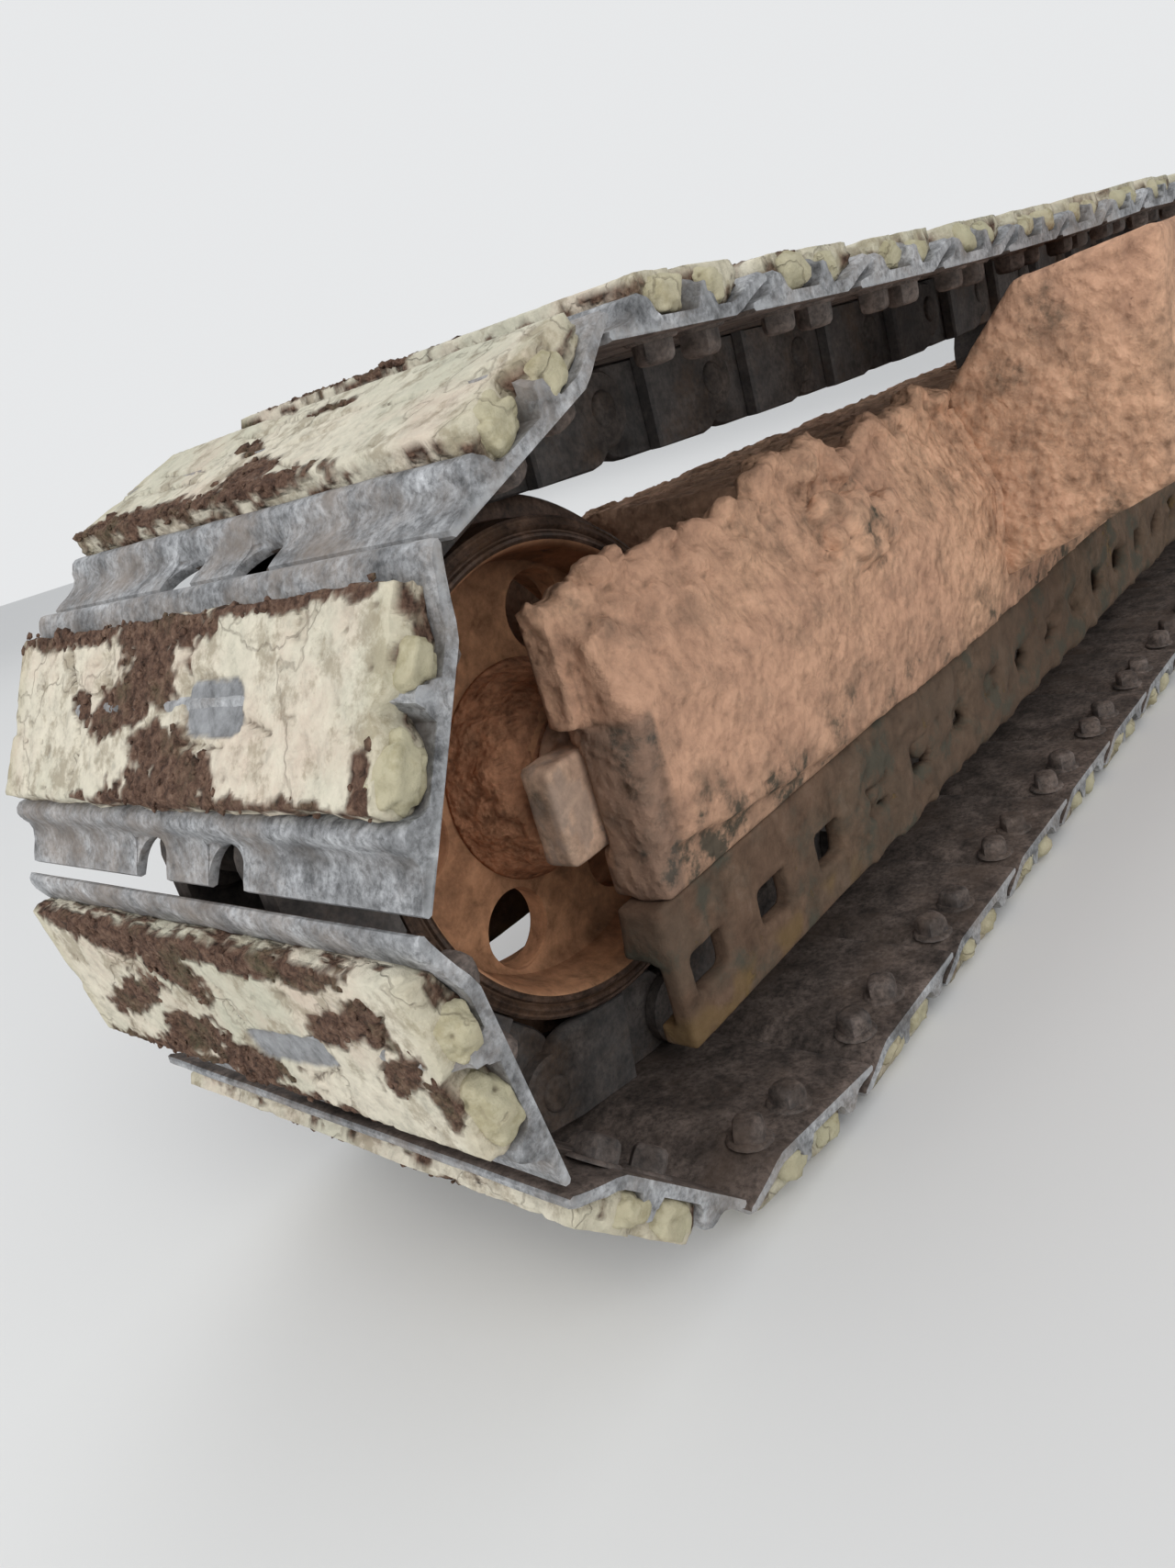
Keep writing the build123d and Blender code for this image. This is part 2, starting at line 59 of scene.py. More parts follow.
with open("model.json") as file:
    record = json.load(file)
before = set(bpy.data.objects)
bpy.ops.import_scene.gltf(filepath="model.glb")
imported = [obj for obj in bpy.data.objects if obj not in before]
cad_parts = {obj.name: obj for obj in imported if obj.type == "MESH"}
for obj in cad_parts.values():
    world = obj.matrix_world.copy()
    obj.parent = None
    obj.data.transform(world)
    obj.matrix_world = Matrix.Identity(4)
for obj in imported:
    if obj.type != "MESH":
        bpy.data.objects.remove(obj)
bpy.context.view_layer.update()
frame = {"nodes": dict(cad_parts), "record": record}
joints = {joint["name"]: joint for joint in frame["record"]["behaviour"]["joints"]}
axle = Vector(joints["idler_spin"]["pos_m"])


# Settings that a user would change

class TrackSizes(bpy.types.PropertyGroup):
    """Sizes of the chain and its shoes, the same as in the part's source."""
    pitch: FloatProperty(name="Chain pitch", description="Distance between two pins",
                         default=0.135, unit="LENGTH")
    link_count: IntProperty(name="Links", description="Links in the chain", default=39, min=20)
    shoe_width: FloatProperty(name="Shoe width", description="Width of a shoe across the track",
                              default=0.380, unit="LENGTH")
    shoe_angle: FloatProperty(name="Front shoe angle", description="Angle of the front shoe above forward",
                              default=math.radians(31.3), subtype="ANGLE")
    upper_sag: FloatProperty(name="Sag", description="Dip of the upper run between its supports",
                             default=0.008, unit="LENGTH")
    pad_height: FloatProperty(name="Pad height", description="Height of a worn pad above its shoe",
                              default=0.033, unit="LENGTH")


class TrackFinish(bpy.types.PropertyGroup):
    """Colours of the finishes."""
    clay: FloatVectorProperty(name="Clay", description="Dry orange-brown clay", subtype="COLOR",
                              size=3, default=(0.47, 0.285, 0.185))
    rubber: FloatVectorProperty(name="Pads", description="Bleached rubber under pale dust", subtype="COLOR",
                                size=3, default=(0.66, 0.61, 0.495))
    steel: FloatVectorProperty(name="Shoe steel", description="Scuffed steel of the shoes", subtype="COLOR",
                               size=3, default=(0.165, 0.168, 0.172))
    floor: FloatVectorProperty(name="Floor", description="Pale studio floor", subtype="COLOR",
                               size=3, default=(0.74, 0.74, 0.73))


class StudioView(bpy.types.PropertyGroup):
    """The camera and the lamps."""
    lens: FloatProperty(name="Lens", description="Focal length on a 36 mm frame", default=25.553,
                        unit="CAMERA")
    lamp_power: FloatProperty(name="Lamp power", description="Power of the main lamp", default=68.0,
                              unit="POWER")
    world_strength: FloatProperty(name="Room light", description="Strength of the even light all round",
                                  default=0.74, min=0.0)


def sizes():
    return bpy.context.scene.track_sizes


def finish_colours():
    return bpy.context.scene.track_finish


# The chain's line, in millimetres from the idler's axle: X forward, Z up

PIN_TO_SHOE = 28.0
PIN_TO_TREAD = 36.0
TREAD_RADIUS = 163.0
RUNNING_GAP = 0.5
SPROCKET_TEETH = 19
SAG_STEPS = 120


def circle_point(cx, cz, radius, degrees):
    turn = math.radians(degrees)
    return (cx + radius * math.cos(turn), cz + radius * math.sin(turn))


def next_pin(pin, start, end, pitch):
    """Point on the line from start to end that is a pitch from the pin."""
    dx, dz = end[0] - start[0], end[1] - start[1]
    ex, ez = start[0] - pin[0], start[1] - pin[1]
    square = dx * dx + dz * dz
    lean = dx * ex + dz * ez
    share = (math.sqrt(lean * lean - square * (ex * ex + ez * ez - pitch * pitch)) - lean) / square
    return (start[0] + share * dx, start[1] + share * dz)


def chain_links():
    """Each link's middle and the angle of its outward side, and the sprocket's centre."""
    size = sizes()
    pitch = size.pitch * 1000
    count = size.link_count
    sag = size.upper_sag * 1000
    pin_radius = math.hypot(TREAD_RADIUS + RUNNING_GAP + PIN_TO_TREAD, pitch / 2)
    step = 2 * math.degrees(math.asin(pitch / 2 / pin_radius))
    front = math.degrees(size.shoe_angle)
    last_angle = front - (math.ceil((front + 90) / step - 0.5) + 0.5) * step
    last_pin = circle_point(0, 0, pin_radius, last_angle)
    sprocket_radius = pitch / 2 / math.sin(2 * math.pi / SPROCKET_TEETH)
    sprocket_z = last_pin[1] + sprocket_radius

    def path(centres):
        points = [last_pin]
        for turn in range(0, 361):
            points.append(circle_point(-centres, sprocket_z, sprocket_radius, -90 - turn / 2))
        rise = sprocket_z + sprocket_radius - pin_radius
        for number in range(1, SAG_STEPS):
            share = number / SAG_STEPS
            half = (2 * share) % 1
            points.append((-centres * (1 - share), pin_radius + rise * (1 - share) - 4 * sag * half * (1 - half)))
        for turn in range(0, int(2 * (90 - last_angle)) + 1):
            points.append(circle_point(0, 0, pin_radius, 90 - turn / 2))
        points.append(last_pin)
        return points

    def walk(points):
        pins = [points[0]]
        place = 0
        while len(pins) < count:
            while place + 1 < len(points) and math.dist(pins[-1], points[place + 1]) < pitch:
                place += 1
            if place + 1 == len(points):
                return pins, -pitch
            pins.append(next_pin(pins[-1], points[place], points[place + 1], pitch))
        return pins, math.dist(pins[-1], points[-1]) - pitch

    short, long = pitch * (count / 2 - 6), pitch * count / 2
    for _ in range(50):
        centres = (short + long) / 2
        pins, left_over = walk(path(centres))
        if left_over > 0:
            long = centres
        else:
            short = centres
    links = []
    for number, (x0, z0) in enumerate(pins):
        x1, z1 = pins[(number + 1) % count]
        angle = math.degrees(math.atan2(z0 - z1, x0 - x1)) - 90
        links.append(((x0 + x1) / 2, (z0 + z1) / 2, angle))
    return links, (-centres, sprocket_z)


def link_matrix(link):
    """Places link coordinates, along to the tail, across and outward, in the object, in metres."""
    x, z, angle = link
    turn = math.radians(angle)
    out = Vector((math.cos(turn), 0, math.sin(turn)))
    along = Vector((-math.sin(turn), 0, math.cos(turn)))
    place = Vector((axle.x + x / 1000, axle.y, axle.z + z / 1000))
    rows = [[along[i] / 1000, (0, 0.001, 0)[i], out[i] / 1000, place[i]] for i in range(3)]
    return Matrix(rows + [[0, 0, 0, 1]])


def axle_matrix():
    """Places millimetres from the idler's axle in the object, in metres."""
    return Matrix.Translation(axle) @ Matrix.Scale(0.001, 4)


# Mesh helpers

def make_object(name, mesh_data, body, materials, smooth=40):
    """Object from a bmesh, shaded smooth below an angle, on a body of the frame."""
    mesh = bpy.data.meshes.new(name)
    mesh_data.to_mesh(mesh)
    mesh_data.free()
    for material in materials:
        mesh.materials.append(material)
    mesh.shade_smooth()
    if smooth:
        mesh.set_sharp_from_angle(angle=math.radians(smooth))
    piece = bpy.data.objects.new(name, mesh)
    bpy.context.scene.collection.objects.link(piece)
    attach(piece, body)
    return piece


def close_up(bm, merge=0.0):
    """Merges points that are nearer than a distance in metres and turns the faces outward."""
    if merge:
        bmesh.ops.remove_doubles(bm, verts=bm.verts, dist=merge)
    bmesh.ops.recalc_face_normals(bm, faces=bm.faces)


def add_loft(bm, rings, closed_ends=True):
    """Skin over rings of points that all have the same length, each ring a closed outline."""
    made = [[bm.verts.new(point) for point in ring] for ring in rings]
    count = len(made[0])
    for first, second in zip(made, made[1:]):
        for i in range(count):
            j = (i + 1) % count
            bm.faces.new((first[i], first[j], second[j], second[i]))
    if closed_ends:
        bm.faces.new(list(reversed(made[0])))
        bm.faces.new(made[-1])


def add_prism(bm, outline, low, high, place, bevel):
    """Flat outline in along and out, thickened across from low to high, with bevelled rims."""
    middle_a = sum(p[0] for p in outline) / len(outline)
    middle_n = sum(p[1] for p in outline) / len(outline)

    def ring(y, shrink):
        points = []
        for a, n in outline:
            da, dn = a - middle_a, n - middle_n
            reach = math.hypot(da, dn) or 1.0
            share = (reach - shrink) / reach
            points.append(place @ Vector((middle_a + da * share, y, middle_n + dn * share)))
        return points

    add_loft(bm, [ring(low, bevel), ring(low + bevel, 0), ring(high - bevel, 0), ring(high, bevel)])


def add_turned(bm, profile, place, steps=48):
    """Closed half profile of (across, radius) turned about the cross axle."""
    rings = []
    for step in range(steps):
        turn = 2 * math.pi * step / steps
        rings.append([bm.verts.new(place @ Vector((r * math.cos(turn), y, r * math.sin(turn))))
                      for y, r in profile])
    count = len(profile)
    for step in range(steps):
        first, second = rings[step], rings[(step + 1) % steps]
        for i in range(count):
            j = (i + 1) % count
            if profile[i][1] or profile[j][1]:
                bm.faces.new((first[i], first[j], second[j], second[i]))


def hexagon(place, radius, across, turned=0.0):
    """Six points about the cross axle of a place."""
    turns = [turned + math.radians(60 * corner) for corner in range(6)]
    return [place @ Vector((radius * math.cos(turn), across, radius * math.sin(turn))) for turn in turns]


def rough(point, scale, seed=0.0):
    """Smooth noise from -1 to 1 at a point in millimetres."""
    return noise.noise(Vector((point[0] / scale + seed, point[1] / scale - seed, point[2] / scale + 2 * seed)))


def layered(point, scale, seed=0.0, octaves=4):
    """Noise with finer and finer layers."""
    total, strength, reach = 0.0, 1.0, 0.0
    for _ in range(octaves):
        total += strength * rough(point, scale, seed)
        reach += strength
        scale, strength, seed = scale / 2.1, strength * 0.5, seed + 17.3
    return total / reach


def smoothstep(low, high, value):
    """0 below low, 1 above high and a soft rise between; the other way round if low is above high."""
    share = min(max((value - low) / (high - low), 0.0), 1.0)
    return share * share * (3 - 2 * share)


# Material helpers: a value given to a node is another node's socket, a number or a colour

def plug(tree, socket, value):
    """Links a socket, or sets a number or a colour on it."""
    if isinstance(value, bpy.types.NodeSocket):
        tree.links.new(value, socket)
    elif isinstance(value, (tuple, list)):
        socket.default_value = (*value[:3], 1)
    else:
        socket.default_value = value


def add_node(tree, kind, place, inputs=None, **settings):
    """Node at a place in the tree, with its settings and what its sockets get, by name or number."""
    made = tree.nodes.new(kind)
    made.location = place
    for name, value in settings.items():
        setattr(made, name, value)
    for name, value in (inputs or {}).items():
        plug(tree, made.inputs[name], value)
    return made


def add_ramp(tree, place, factor, stops):
    """Colour of a ramp with stops of (position, grey or colour)."""
    ramp = add_node(tree, "ShaderNodeValToRGB", place, {"Fac": factor})
    bar = ramp.color_ramp
    while len(bar.elements) < len(stops):
        bar.elements.new(0.5)
    for element, (position, value) in zip(bar.elements, stops):
        element.position = position
        element.color = (*value, 1) if isinstance(value, (tuple, list)) else (value, value, value, 1)
    return ramp.outputs["Color"]


def mix_colour(tree, place, factor, first, second, blend="MIX"):
    """Mix of two colours."""
    mix = add_node(tree, "ShaderNodeMix", place, {0: factor, 6: first, 7: second}, data_type="RGBA", blend_type=blend)
    return mix.outputs[2]


def math_node(tree, place, operation, *values, clamp=False):
    """Maths on two or three values."""
    made = add_node(tree, "ShaderNodeMath", place, dict(enumerate(values)), operation=operation, use_clamp=clamp)
    return made.outputs[0]


def tint(tree, place, mask, share, first, second):
    """Mix towards the second colour by a share of a mask."""
    factor = math_node(tree, (place[0] - 190, place[1] - 260), "MULTIPLY", mask, share)
    return mix_colour(tree, place, factor, first, second)


def map_range(tree, place, value, low, high, to_low=0.0, to_high=1.0, kind="SMOOTHSTEP"):
    """Value between low and high brought to another range, smoothly unless the kind is LINEAR."""
    made = add_node(tree, "ShaderNodeMapRange", place,
                    {"Value": value, "From Min": low, "From Max": high, "To Min": to_low, "To Max": to_high},
                    interpolation_type=kind)
    return made.outputs["Result"]


def noise_node(tree, place, coords, scale, detail, roughness=0.5, distortion=0.0):
    """Outputs of a noise texture."""
    made = add_node(tree, "ShaderNodeTexNoise", place,
                    {"Vector": coords, "Scale": scale, "Detail": detail, "Roughness": roughness,
                     "Distortion": distortion})
    return made.outputs


def new_group(name, **inputs):
    """Empty node group with its inputs and their values, and the object's coordinates in it."""
    tree = bpy.data.node_groups.new(name, "ShaderNodeTree")
    for label, value in inputs.items():
        socket = tree.interface.new_socket(name=label, in_out="INPUT", socket_type="NodeSocketFloat")
        socket.default_value = value
    given = add_node(tree, "NodeGroupInput", (-900, 0)).outputs
    return tree, given, add_node(tree, "ShaderNodeTexCoord", (-900, 300)).outputs["Object"]


def end_group(tree, **results):
    """The group with its results as named outputs."""
    for label in results:
        tree.interface.new_socket(name=label, in_out="OUTPUT", socket_type="NodeSocketFloat")
    add_node(tree, "NodeGroupOutput", (900, 0), results)
    return tree


def dirt_group():
    """Patches of caked dirt with soft or sharp rims."""
    tree, given, coords = new_group("Caked dirt", Scale=12.0, Amount=0.5, Sharpness=0.12)
    broad = noise_node(tree, (-650, 300), coords, given["Scale"], 6.0, 0.62)["Fac"]
    fine = noise_node(tree, (-650, -20), coords, 260.0, 5.0, 0.7)["Fac"]
    both = math_node(tree, (-420, 200), "MULTIPLY_ADD", fine, 0.22, broad)
    level = math_node(tree, (-420, -180), "MULTIPLY_ADD", given["Amount"], -0.5, 0.86)
    top = math_node(tree, (-200, -180), "ADD", level, given["Sharpness"])
    return end_group(tree, Mask=map_range(tree, (60, 100), both, level, top))


def grit_group():
    """Fine grit and crumbs, as a tone and a height."""
    tree, given, coords = new_group("Grit", Scale=60.0, Crumbs=0.5)
    coarse = noise_node(tree, (-650, 300), coords, given["Scale"], 9.0, 0.68, 0.25)["Fac"]
    finer = math_node(tree, (-820, -200), "MULTIPLY", given["Scale"], 2.7)
    crumbs = add_node(tree, "ShaderNodeTexVoronoi", (-650, -100),
                      {"Vector": coords, "Scale": finer, "Randomness": 1.0}, feature="SMOOTH_F1")
    raised = math_node(tree, (-420, -100), "SUBTRACT", 0.6, crumbs.outputs["Distance"])
    weighted = math_node(tree, (-160, -100), "MULTIPLY", raised, given["Crumbs"])
    return end_group(tree, Tone=coarse, Height=math_node(tree, (80, 100), "ADD", coarse, weighted))


def crack_group():
    """Thin cracks between slabs."""
    tree, given, coords = new_group("Cracks", Scale=14.0, Width=0.02)
    wander = noise_node(tree, (-700, 120), coords, 22.0, 4.0)["Color"]
    shift = add_node(tree, "ShaderNodeMix", (-450, 260), {0: 0.09, 4: coords, 5: wander}, data_type="VECTOR",
                     factor_mode="UNIFORM")
    cells = add_node(tree, "ShaderNodeTexVoronoi", (-220, 200),
                     {"Vector": shift.outputs[1], "Scale": given["Scale"]}, feature="DISTANCE_TO_EDGE")
    return end_group(tree, Mask=map_range(tree, (60, 100), cells.outputs["Distance"], 0.0, given["Width"], 1.0, 0.0))


def edge_group():
    """Worn edges, and the hollows where the materials paint shade, from the surface's own bends."""
    tree, given, coords = new_group("Edge wear and hollow shade", Level=0.53, Softness=0.06, Breakup=0.05)
    bends = add_node(tree, "ShaderNodeNewGeometry", (-900, 560)).outputs["Pointiness"]
    patches = noise_node(tree, (-700, -200), coords, 55.0, 6.0, 0.7)["Fac"]
    centred = math_node(tree, (-480, -200), "SUBTRACT", patches, 0.5)
    broken = math_node(tree, (-320, -100), "MULTIPLY", centred, given["Breakup"])
    both = math_node(tree, (-160, 200), "ADD", bends, broken)
    top = math_node(tree, (-160, 0), "ADD", given["Level"], given["Softness"])
    # Worn marks real edge wear; the other output marks the hollows, where the materials paint shade.
    return end_group(tree, Worn=map_range(tree, (80, 200), both, given["Level"], top),
                     Hollow=map_range(tree, (80, -120), both, 0.5, 0.42))


GROUP_BUILDERS = {"Caked dirt": dirt_group, "Grit": grit_group, "Cracks": crack_group, "Edge wear and hollow shade": edge_group}


def place_group(tree, name, place, **values):
    """Outputs of a node group, made on first use and then shared, with its socket values."""
    group = bpy.data.node_groups.get(name) or GROUP_BUILDERS[name]()
    given = {socket.capitalize(): value for socket, value in values.items()}
    return add_node(tree, "ShaderNodeGroup", place, given, node_tree=group).outputs


def dirt_masks(tree, x, *patches):
    """Masks of caked dirt, one for each (scale, amount, sharpness)."""
    return [place_group(tree, "Caked dirt", (x, 60 - 220 * row), scale=scale, amount=amount,
                        sharpness=sharpness)["Mask"]
            for row, (scale, amount, sharpness) in enumerate(patches)]


def new_material(name, metallic=0.0, specular=0.3):
    """Material with only a Principled shader and its output."""
    material = bpy.data.materials.new(name)
    material.use_nodes = True
    tree = material.node_tree
    tree.nodes.clear()
    shader = add_node(tree, "ShaderNodeBsdfPrincipled", (900, 0),
                      {"Metallic": metallic, "Specular IOR Level": specular})
    add_node(tree, "ShaderNodeOutputMaterial", (1200, 0), {"Surface": shader.outputs["BSDF"]})
    return material, tree, shader


def plug_surface(tree, shader, colour, height, strength, distance, **others):
    """Colour, bump and other values into the shader."""
    bump = add_node(tree, "ShaderNodeBump", (640, -420), {"Height": height, "Strength": strength, "Distance": distance})
    for name, value in {"Base Color": colour, "Normal": bump.outputs["Normal"], **others}.items():
        plug(tree, shader.inputs[name], value)


def shade(colour, share):
    """A colour made darker or lighter."""
    return tuple(min(1.0, channel * share) for channel in colour[:3])


def mark_of(tree, place, name):
    """Mask from a mark that the mesh code leaves on the points of a piece; zero where it has none."""
    return add_node(tree, "ShaderNodeAttribute", place, attribute_name=name).outputs["Fac"]


def clay_material(name, colour, bare=(0.10, 0.085, 0.075), bare_amount=0.2, scale=9.0, bump=0.9,
                  distance=0.004, crumbs=0.5, grain=48.0):
    """Dry clay over metal: pink to orange tones, crumbs, dark stains with the painted shade that the mesh's dark mark
    carries, bare spots where it has flaked off, and painted shade in hollows.
    """
    material, tree, shader = new_material(name, specular=0.1)
    grit = place_group(tree, "Grit", (-1100, 300), scale=grain, crumbs=crumbs)
    broad, stains, flaked = dirt_masks(tree, -1100, (scale * 0.55, 0.70, 0.24), (scale * 3, 0.52, 0.22),
                                       (scale * 2.3, bare_amount, 0.08))
    edges = place_group(tree, "Edge wear and hollow shade", (-1100, -640), level=0.56, softness=0.09, breakup=0.12)
    tones = add_ramp(tree, (-820, 320), grit["Tone"],
                     [(0.30, shade(colour, 0.42)), (0.45, shade(colour, 0.86)), (0.56, shade(colour, 1.14)),
                      (0.74, tuple(min(1, channel * 1.38 + 0.03) for channel in colour))])
    pinker = (colour[0] * 1.02, colour[1] * 0.95, colour[2])
    tinted = tint(tree, (-560, 260), broad, 0.5, tones, shade(pinker, 0.88))
    patchy = math_node(tree, (-900, -60), "MULTIPLY_ADD", stains, 0.75, 0.35)
    # The mesh's dark mark holds real stains and, on the frame, a painted shadow round the great lump and painted shade
    # in crevices.
    stain_and_shade = math_node(tree, (-740, -100), "MULTIPLY", mark_of(tree, (-1350, -160), "stain_and_shade"), patchy, clamp=True)
    stain_and_shade_amount = math_node(tree, (-620, -160), "MULTIPLY_ADD", stains, 0.30, stain_and_shade)
    stained_and_shaded = mix_colour(tree, (-340, 200), math_node(tree, (-480, -160), "MINIMUM", stain_and_shade_amount, 0.94), tinted,
                         (0.080, 0.074, 0.056))
    bared = math_node(tree, (-560, -240), "ADD", flaked, mark_of(tree, (-1350, -360), "scraped"), clamp=True)
    scraped = tint(tree, (-100, 140), bared, 0.8, stained_and_shaded, bare)
    # Painted shade: the hollows are darkened towards a deep shade of the clay.
    plug_surface(tree, shader, tint(tree, (160, 60), edges["Hollow"], 0.8, scraped, shade(colour, 0.28)),
                 math_node(tree, (160, -300), "MULTIPLY_ADD", bared, -0.35, grit["Height"]), bump, distance,
                 Roughness=map_range(tree, (400, -120), bared, 0.0, 1.0, 0.97, 0.70, "LINEAR"))
    return material


def scuffed_steel_material(name, colour, dust, dust_amount, bright, metallic=0.35, gloss=0.55):
    """Scuffed steel: mottled, softly bright on worn edges, with dust in patches and painted shade in hollows."""
    material, tree, shader = new_material(name, metallic=metallic, specular=0.35)
    edges = place_group(tree, "Edge wear and hollow shade", (-1100, 320), level=0.53, softness=0.10, breakup=0.10)
    dirt, = dirt_masks(tree, -1100, (15.0, dust_amount, 0.34))
    mottle = place_group(tree, "Grit", (-1100, -180), scale=34.0, crumbs=0.25)
    fine = place_group(tree, "Grit", (-1100, -440), scale=238.0, crumbs=0.4)
    tones = add_ramp(tree, (-820, 240), mottle["Tone"], [(0.34, shade(colour, 0.45)), (0.47, colour),
                                                         (0.56, shade(colour, 1.5)), (0.72, shade(colour, 2.5))])
    speckle = add_ramp(tree, (-820, -360), fine["Tone"], [(0.38, 0.42), (0.50, 1.0), (0.64, 1.5)])
    speckled = mix_colour(tree, (-560, 240), 0.75, tones, speckle, blend="MULTIPLY")
    worn = tint(tree, (-340, 200), edges["Worn"], bright, speckled, (0.44, 0.45, 0.46))
    dusty = tint(tree, (-100, 140), dirt, 0.72, worn, dust)
    # Painted shade: the hollows are darkened towards a deep shade of the dust colour.
    plug_surface(tree, shader, tint(tree, (160, 60), edges["Hollow"], 0.75, dusty, shade(dust, 0.38)),
                 math_node(tree, (160, -420), "MULTIPLY_ADD", fine["Height"], 0.35, mottle["Height"]), 0.4, 0.0012,
                 Roughness=map_range(tree, (400, -120), dirt, 0.0, 1.0, gloss, 0.95, "LINEAR"))
    return material


def pad_material(name, colour, steel):
    """Bleached pad rubber: cream to olive and pink tints, fine cracks, earth crusts, scraped steel and painted shade in
    hollows.
    """
    material, tree, shader = new_material(name, specular=0.15)
    grit = place_group(tree, "Grit", (-1300, 300), scale=85.0, crumbs=0.3)
    soil_grit = place_group(tree, "Grit", (-1300, 560), scale=170.0, crumbs=0.9)
    olive, pink, smudges, moss = dirt_masks(tree, -1300, (6.5, 0.68, 0.26), (14.0, 0.60, 0.26), (40.0, 0.52, 0.14),
                                            (24.0, 0.52, 0.30))
    cracks = place_group(tree, "Cracks", (-1300, -820), scale=8.0, width=0.012)["Mask"]
    edges = place_group(tree, "Edge wear and hollow shade", (-1300, -1060), level=0.55, softness=0.08, breakup=0.08)
    crust, bare, tongue = (mark_of(tree, (-1550, -200 * number), mark)
                           for number, mark in enumerate(("crust", "bare", "tongue")))
    rubber = add_ramp(tree, (-1000, 300), grit["Tone"], [(0.30, shade(colour, 0.66)), (0.47, colour),
                                                         (0.75, shade(colour, 1.20))])
    for step, (mask, share, tone) in enumerate((
            (olive, 0.55, (0.47, 0.48, 0.37)), (pink, 0.5, (0.61, 0.46, 0.37)), (smudges, 0.6, (0.27, 0.22, 0.15)),
            (tongue, 0.6, (0.37, 0.335, 0.185)), (cracks, 0.28, (0.15, 0.11, 0.075)))):
        rubber = tint(tree, (-780 + 180 * step, 240 - 35 * step), mask, share, rubber, tone)
    soil = add_ramp(tree, (-420, -520), soil_grit["Tone"],
                    [(0.32, (0.040, 0.026, 0.020)), (0.45, (0.115, 0.066, 0.047)), (0.60, (0.22, 0.135, 0.095)),
                     (0.80, (0.36, 0.27, 0.20))])
    mossy = tint(tree, (-160, -420), moss, 0.7, soil, (0.13, 0.135, 0.075))
    crusted = mix_colour(tree, (120, 80), crust, rubber, mossy)
    metal = add_ramp(tree, (-160, -700), grit["Tone"], [(0.30, shade(steel, 0.8)), (0.50, shade(steel, 1.7)),
                                                        (0.75, shade(steel, 2.6))])
    bared = mix_colour(tree, (300, 60), bare, crusted, metal)
    low = math_node(tree, (0, -860), "MULTIPLY_ADD", cracks, -0.3, grit["Height"])
    crumbly = math_node(tree, (160, -960), "MULTIPLY", soil_grit["Height"], crust)
    raised = math_node(tree, (320, -860), "MULTIPLY_ADD", crumbly, 1.6, low)
    unscraped = math_node(tree, (320, -1080), "SUBTRACT", 1.0, bare)
    # Painted shade: the hollows are darkened towards a deep brown.
    plug_surface(tree, shader, tint(tree, (480, 40), edges["Hollow"], 0.7, bared, (0.085, 0.058, 0.040)),
                 math_node(tree, (480, -860), "MULTIPLY", raised, unscraped), 0.85, 0.0034,
                 Roughness=map_range(tree, (640, -120), bare, 0.0, 1.0, 0.93, 0.5, "LINEAR"),
                 Metallic=map_range(tree, (640, -700), bare, 0.0, 1.0, 0.0, 0.45, "LINEAR"))
    return material


def make_finishes():
    """Every material of the unit, by name."""
    colours = finish_colours()
    clay, rubber, steel = tuple(colours.clay), tuple(colours.rubber), tuple(colours.steel)
    return {
        "frame clay": clay_material("Clay on the frame", shade(clay, 1.35), bare_amount=0.16, crumbs=0.9,
                                    distance=0.006, bump=1.0),
        "idler dust": clay_material("Rusty dust on the idler", (0.54, 0.285, 0.155), bare_amount=0.20, scale=7.0,
                                    bump=0.35, distance=0.0014, crumbs=0.25, grain=60.0),
        "hub clay": clay_material("Clay round the hub", (0.50, 0.25, 0.14), bare_amount=0.10, bump=1.0,
                                  distance=0.003, crumbs=0.9, grain=90.0),
        "guard paint": clay_material("Scraped guard paint", (0.14, 0.09, 0.06), bare=(0.17, 0.11, 0.045),
                                     bare_amount=0.24, bump=0.8, distance=0.003),
        "block steel": clay_material("Dusty block", (0.60, 0.41, 0.29), bare=(0.36, 0.285, 0.24),
                                     bare_amount=0.40, bump=0.55, distance=0.0016, grain=60.0),
        "drive dust": clay_material("Dusty drive", (0.25, 0.155, 0.095), bare=(0.11, 0.095, 0.085),
                                    bare_amount=0.40, bump=0.5, distance=0.002, grain=60.0),
        "dark link": scuffed_steel_material("Dark dusty links", (0.052, 0.042, 0.036), (0.17, 0.105, 0.066), 0.54,
                                            0.12, metallic=0.1, gloss=0.7),
        "shoe inside": scuffed_steel_material("Dusty inside of the shoes", (0.085, 0.066, 0.056),
                                              (0.115, 0.080, 0.060), 0.62, 0.08, metallic=0.05, gloss=0.8),
        "shoe steel": scuffed_steel_material("Scuffed shoe steel", shade(steel, 1.35), (0.34, 0.285, 0.24), 0.66,
                                             0.75),
        "pad rubber": pad_material("Bleached pad rubber", rubber, steel),
        "tread": scuffed_steel_material("Dark tread", (0.085, 0.052, 0.036), (0.22, 0.115, 0.060), 0.52, 0.2,
                                        metallic=0.3, gloss=0.45),
        "rod": scuffed_steel_material("Bare rod", (0.30, 0.27, 0.24), (0.30, 0.205, 0.135), 0.4, 0.6),
    }


finishes = {}


def finish(name):
    """A finish by name, made on first use."""
    if not finishes:
        finishes.update(make_finishes())
    return finishes[name]


# Lumps: rounded masses for clods, crumbs and the pads' end hooks

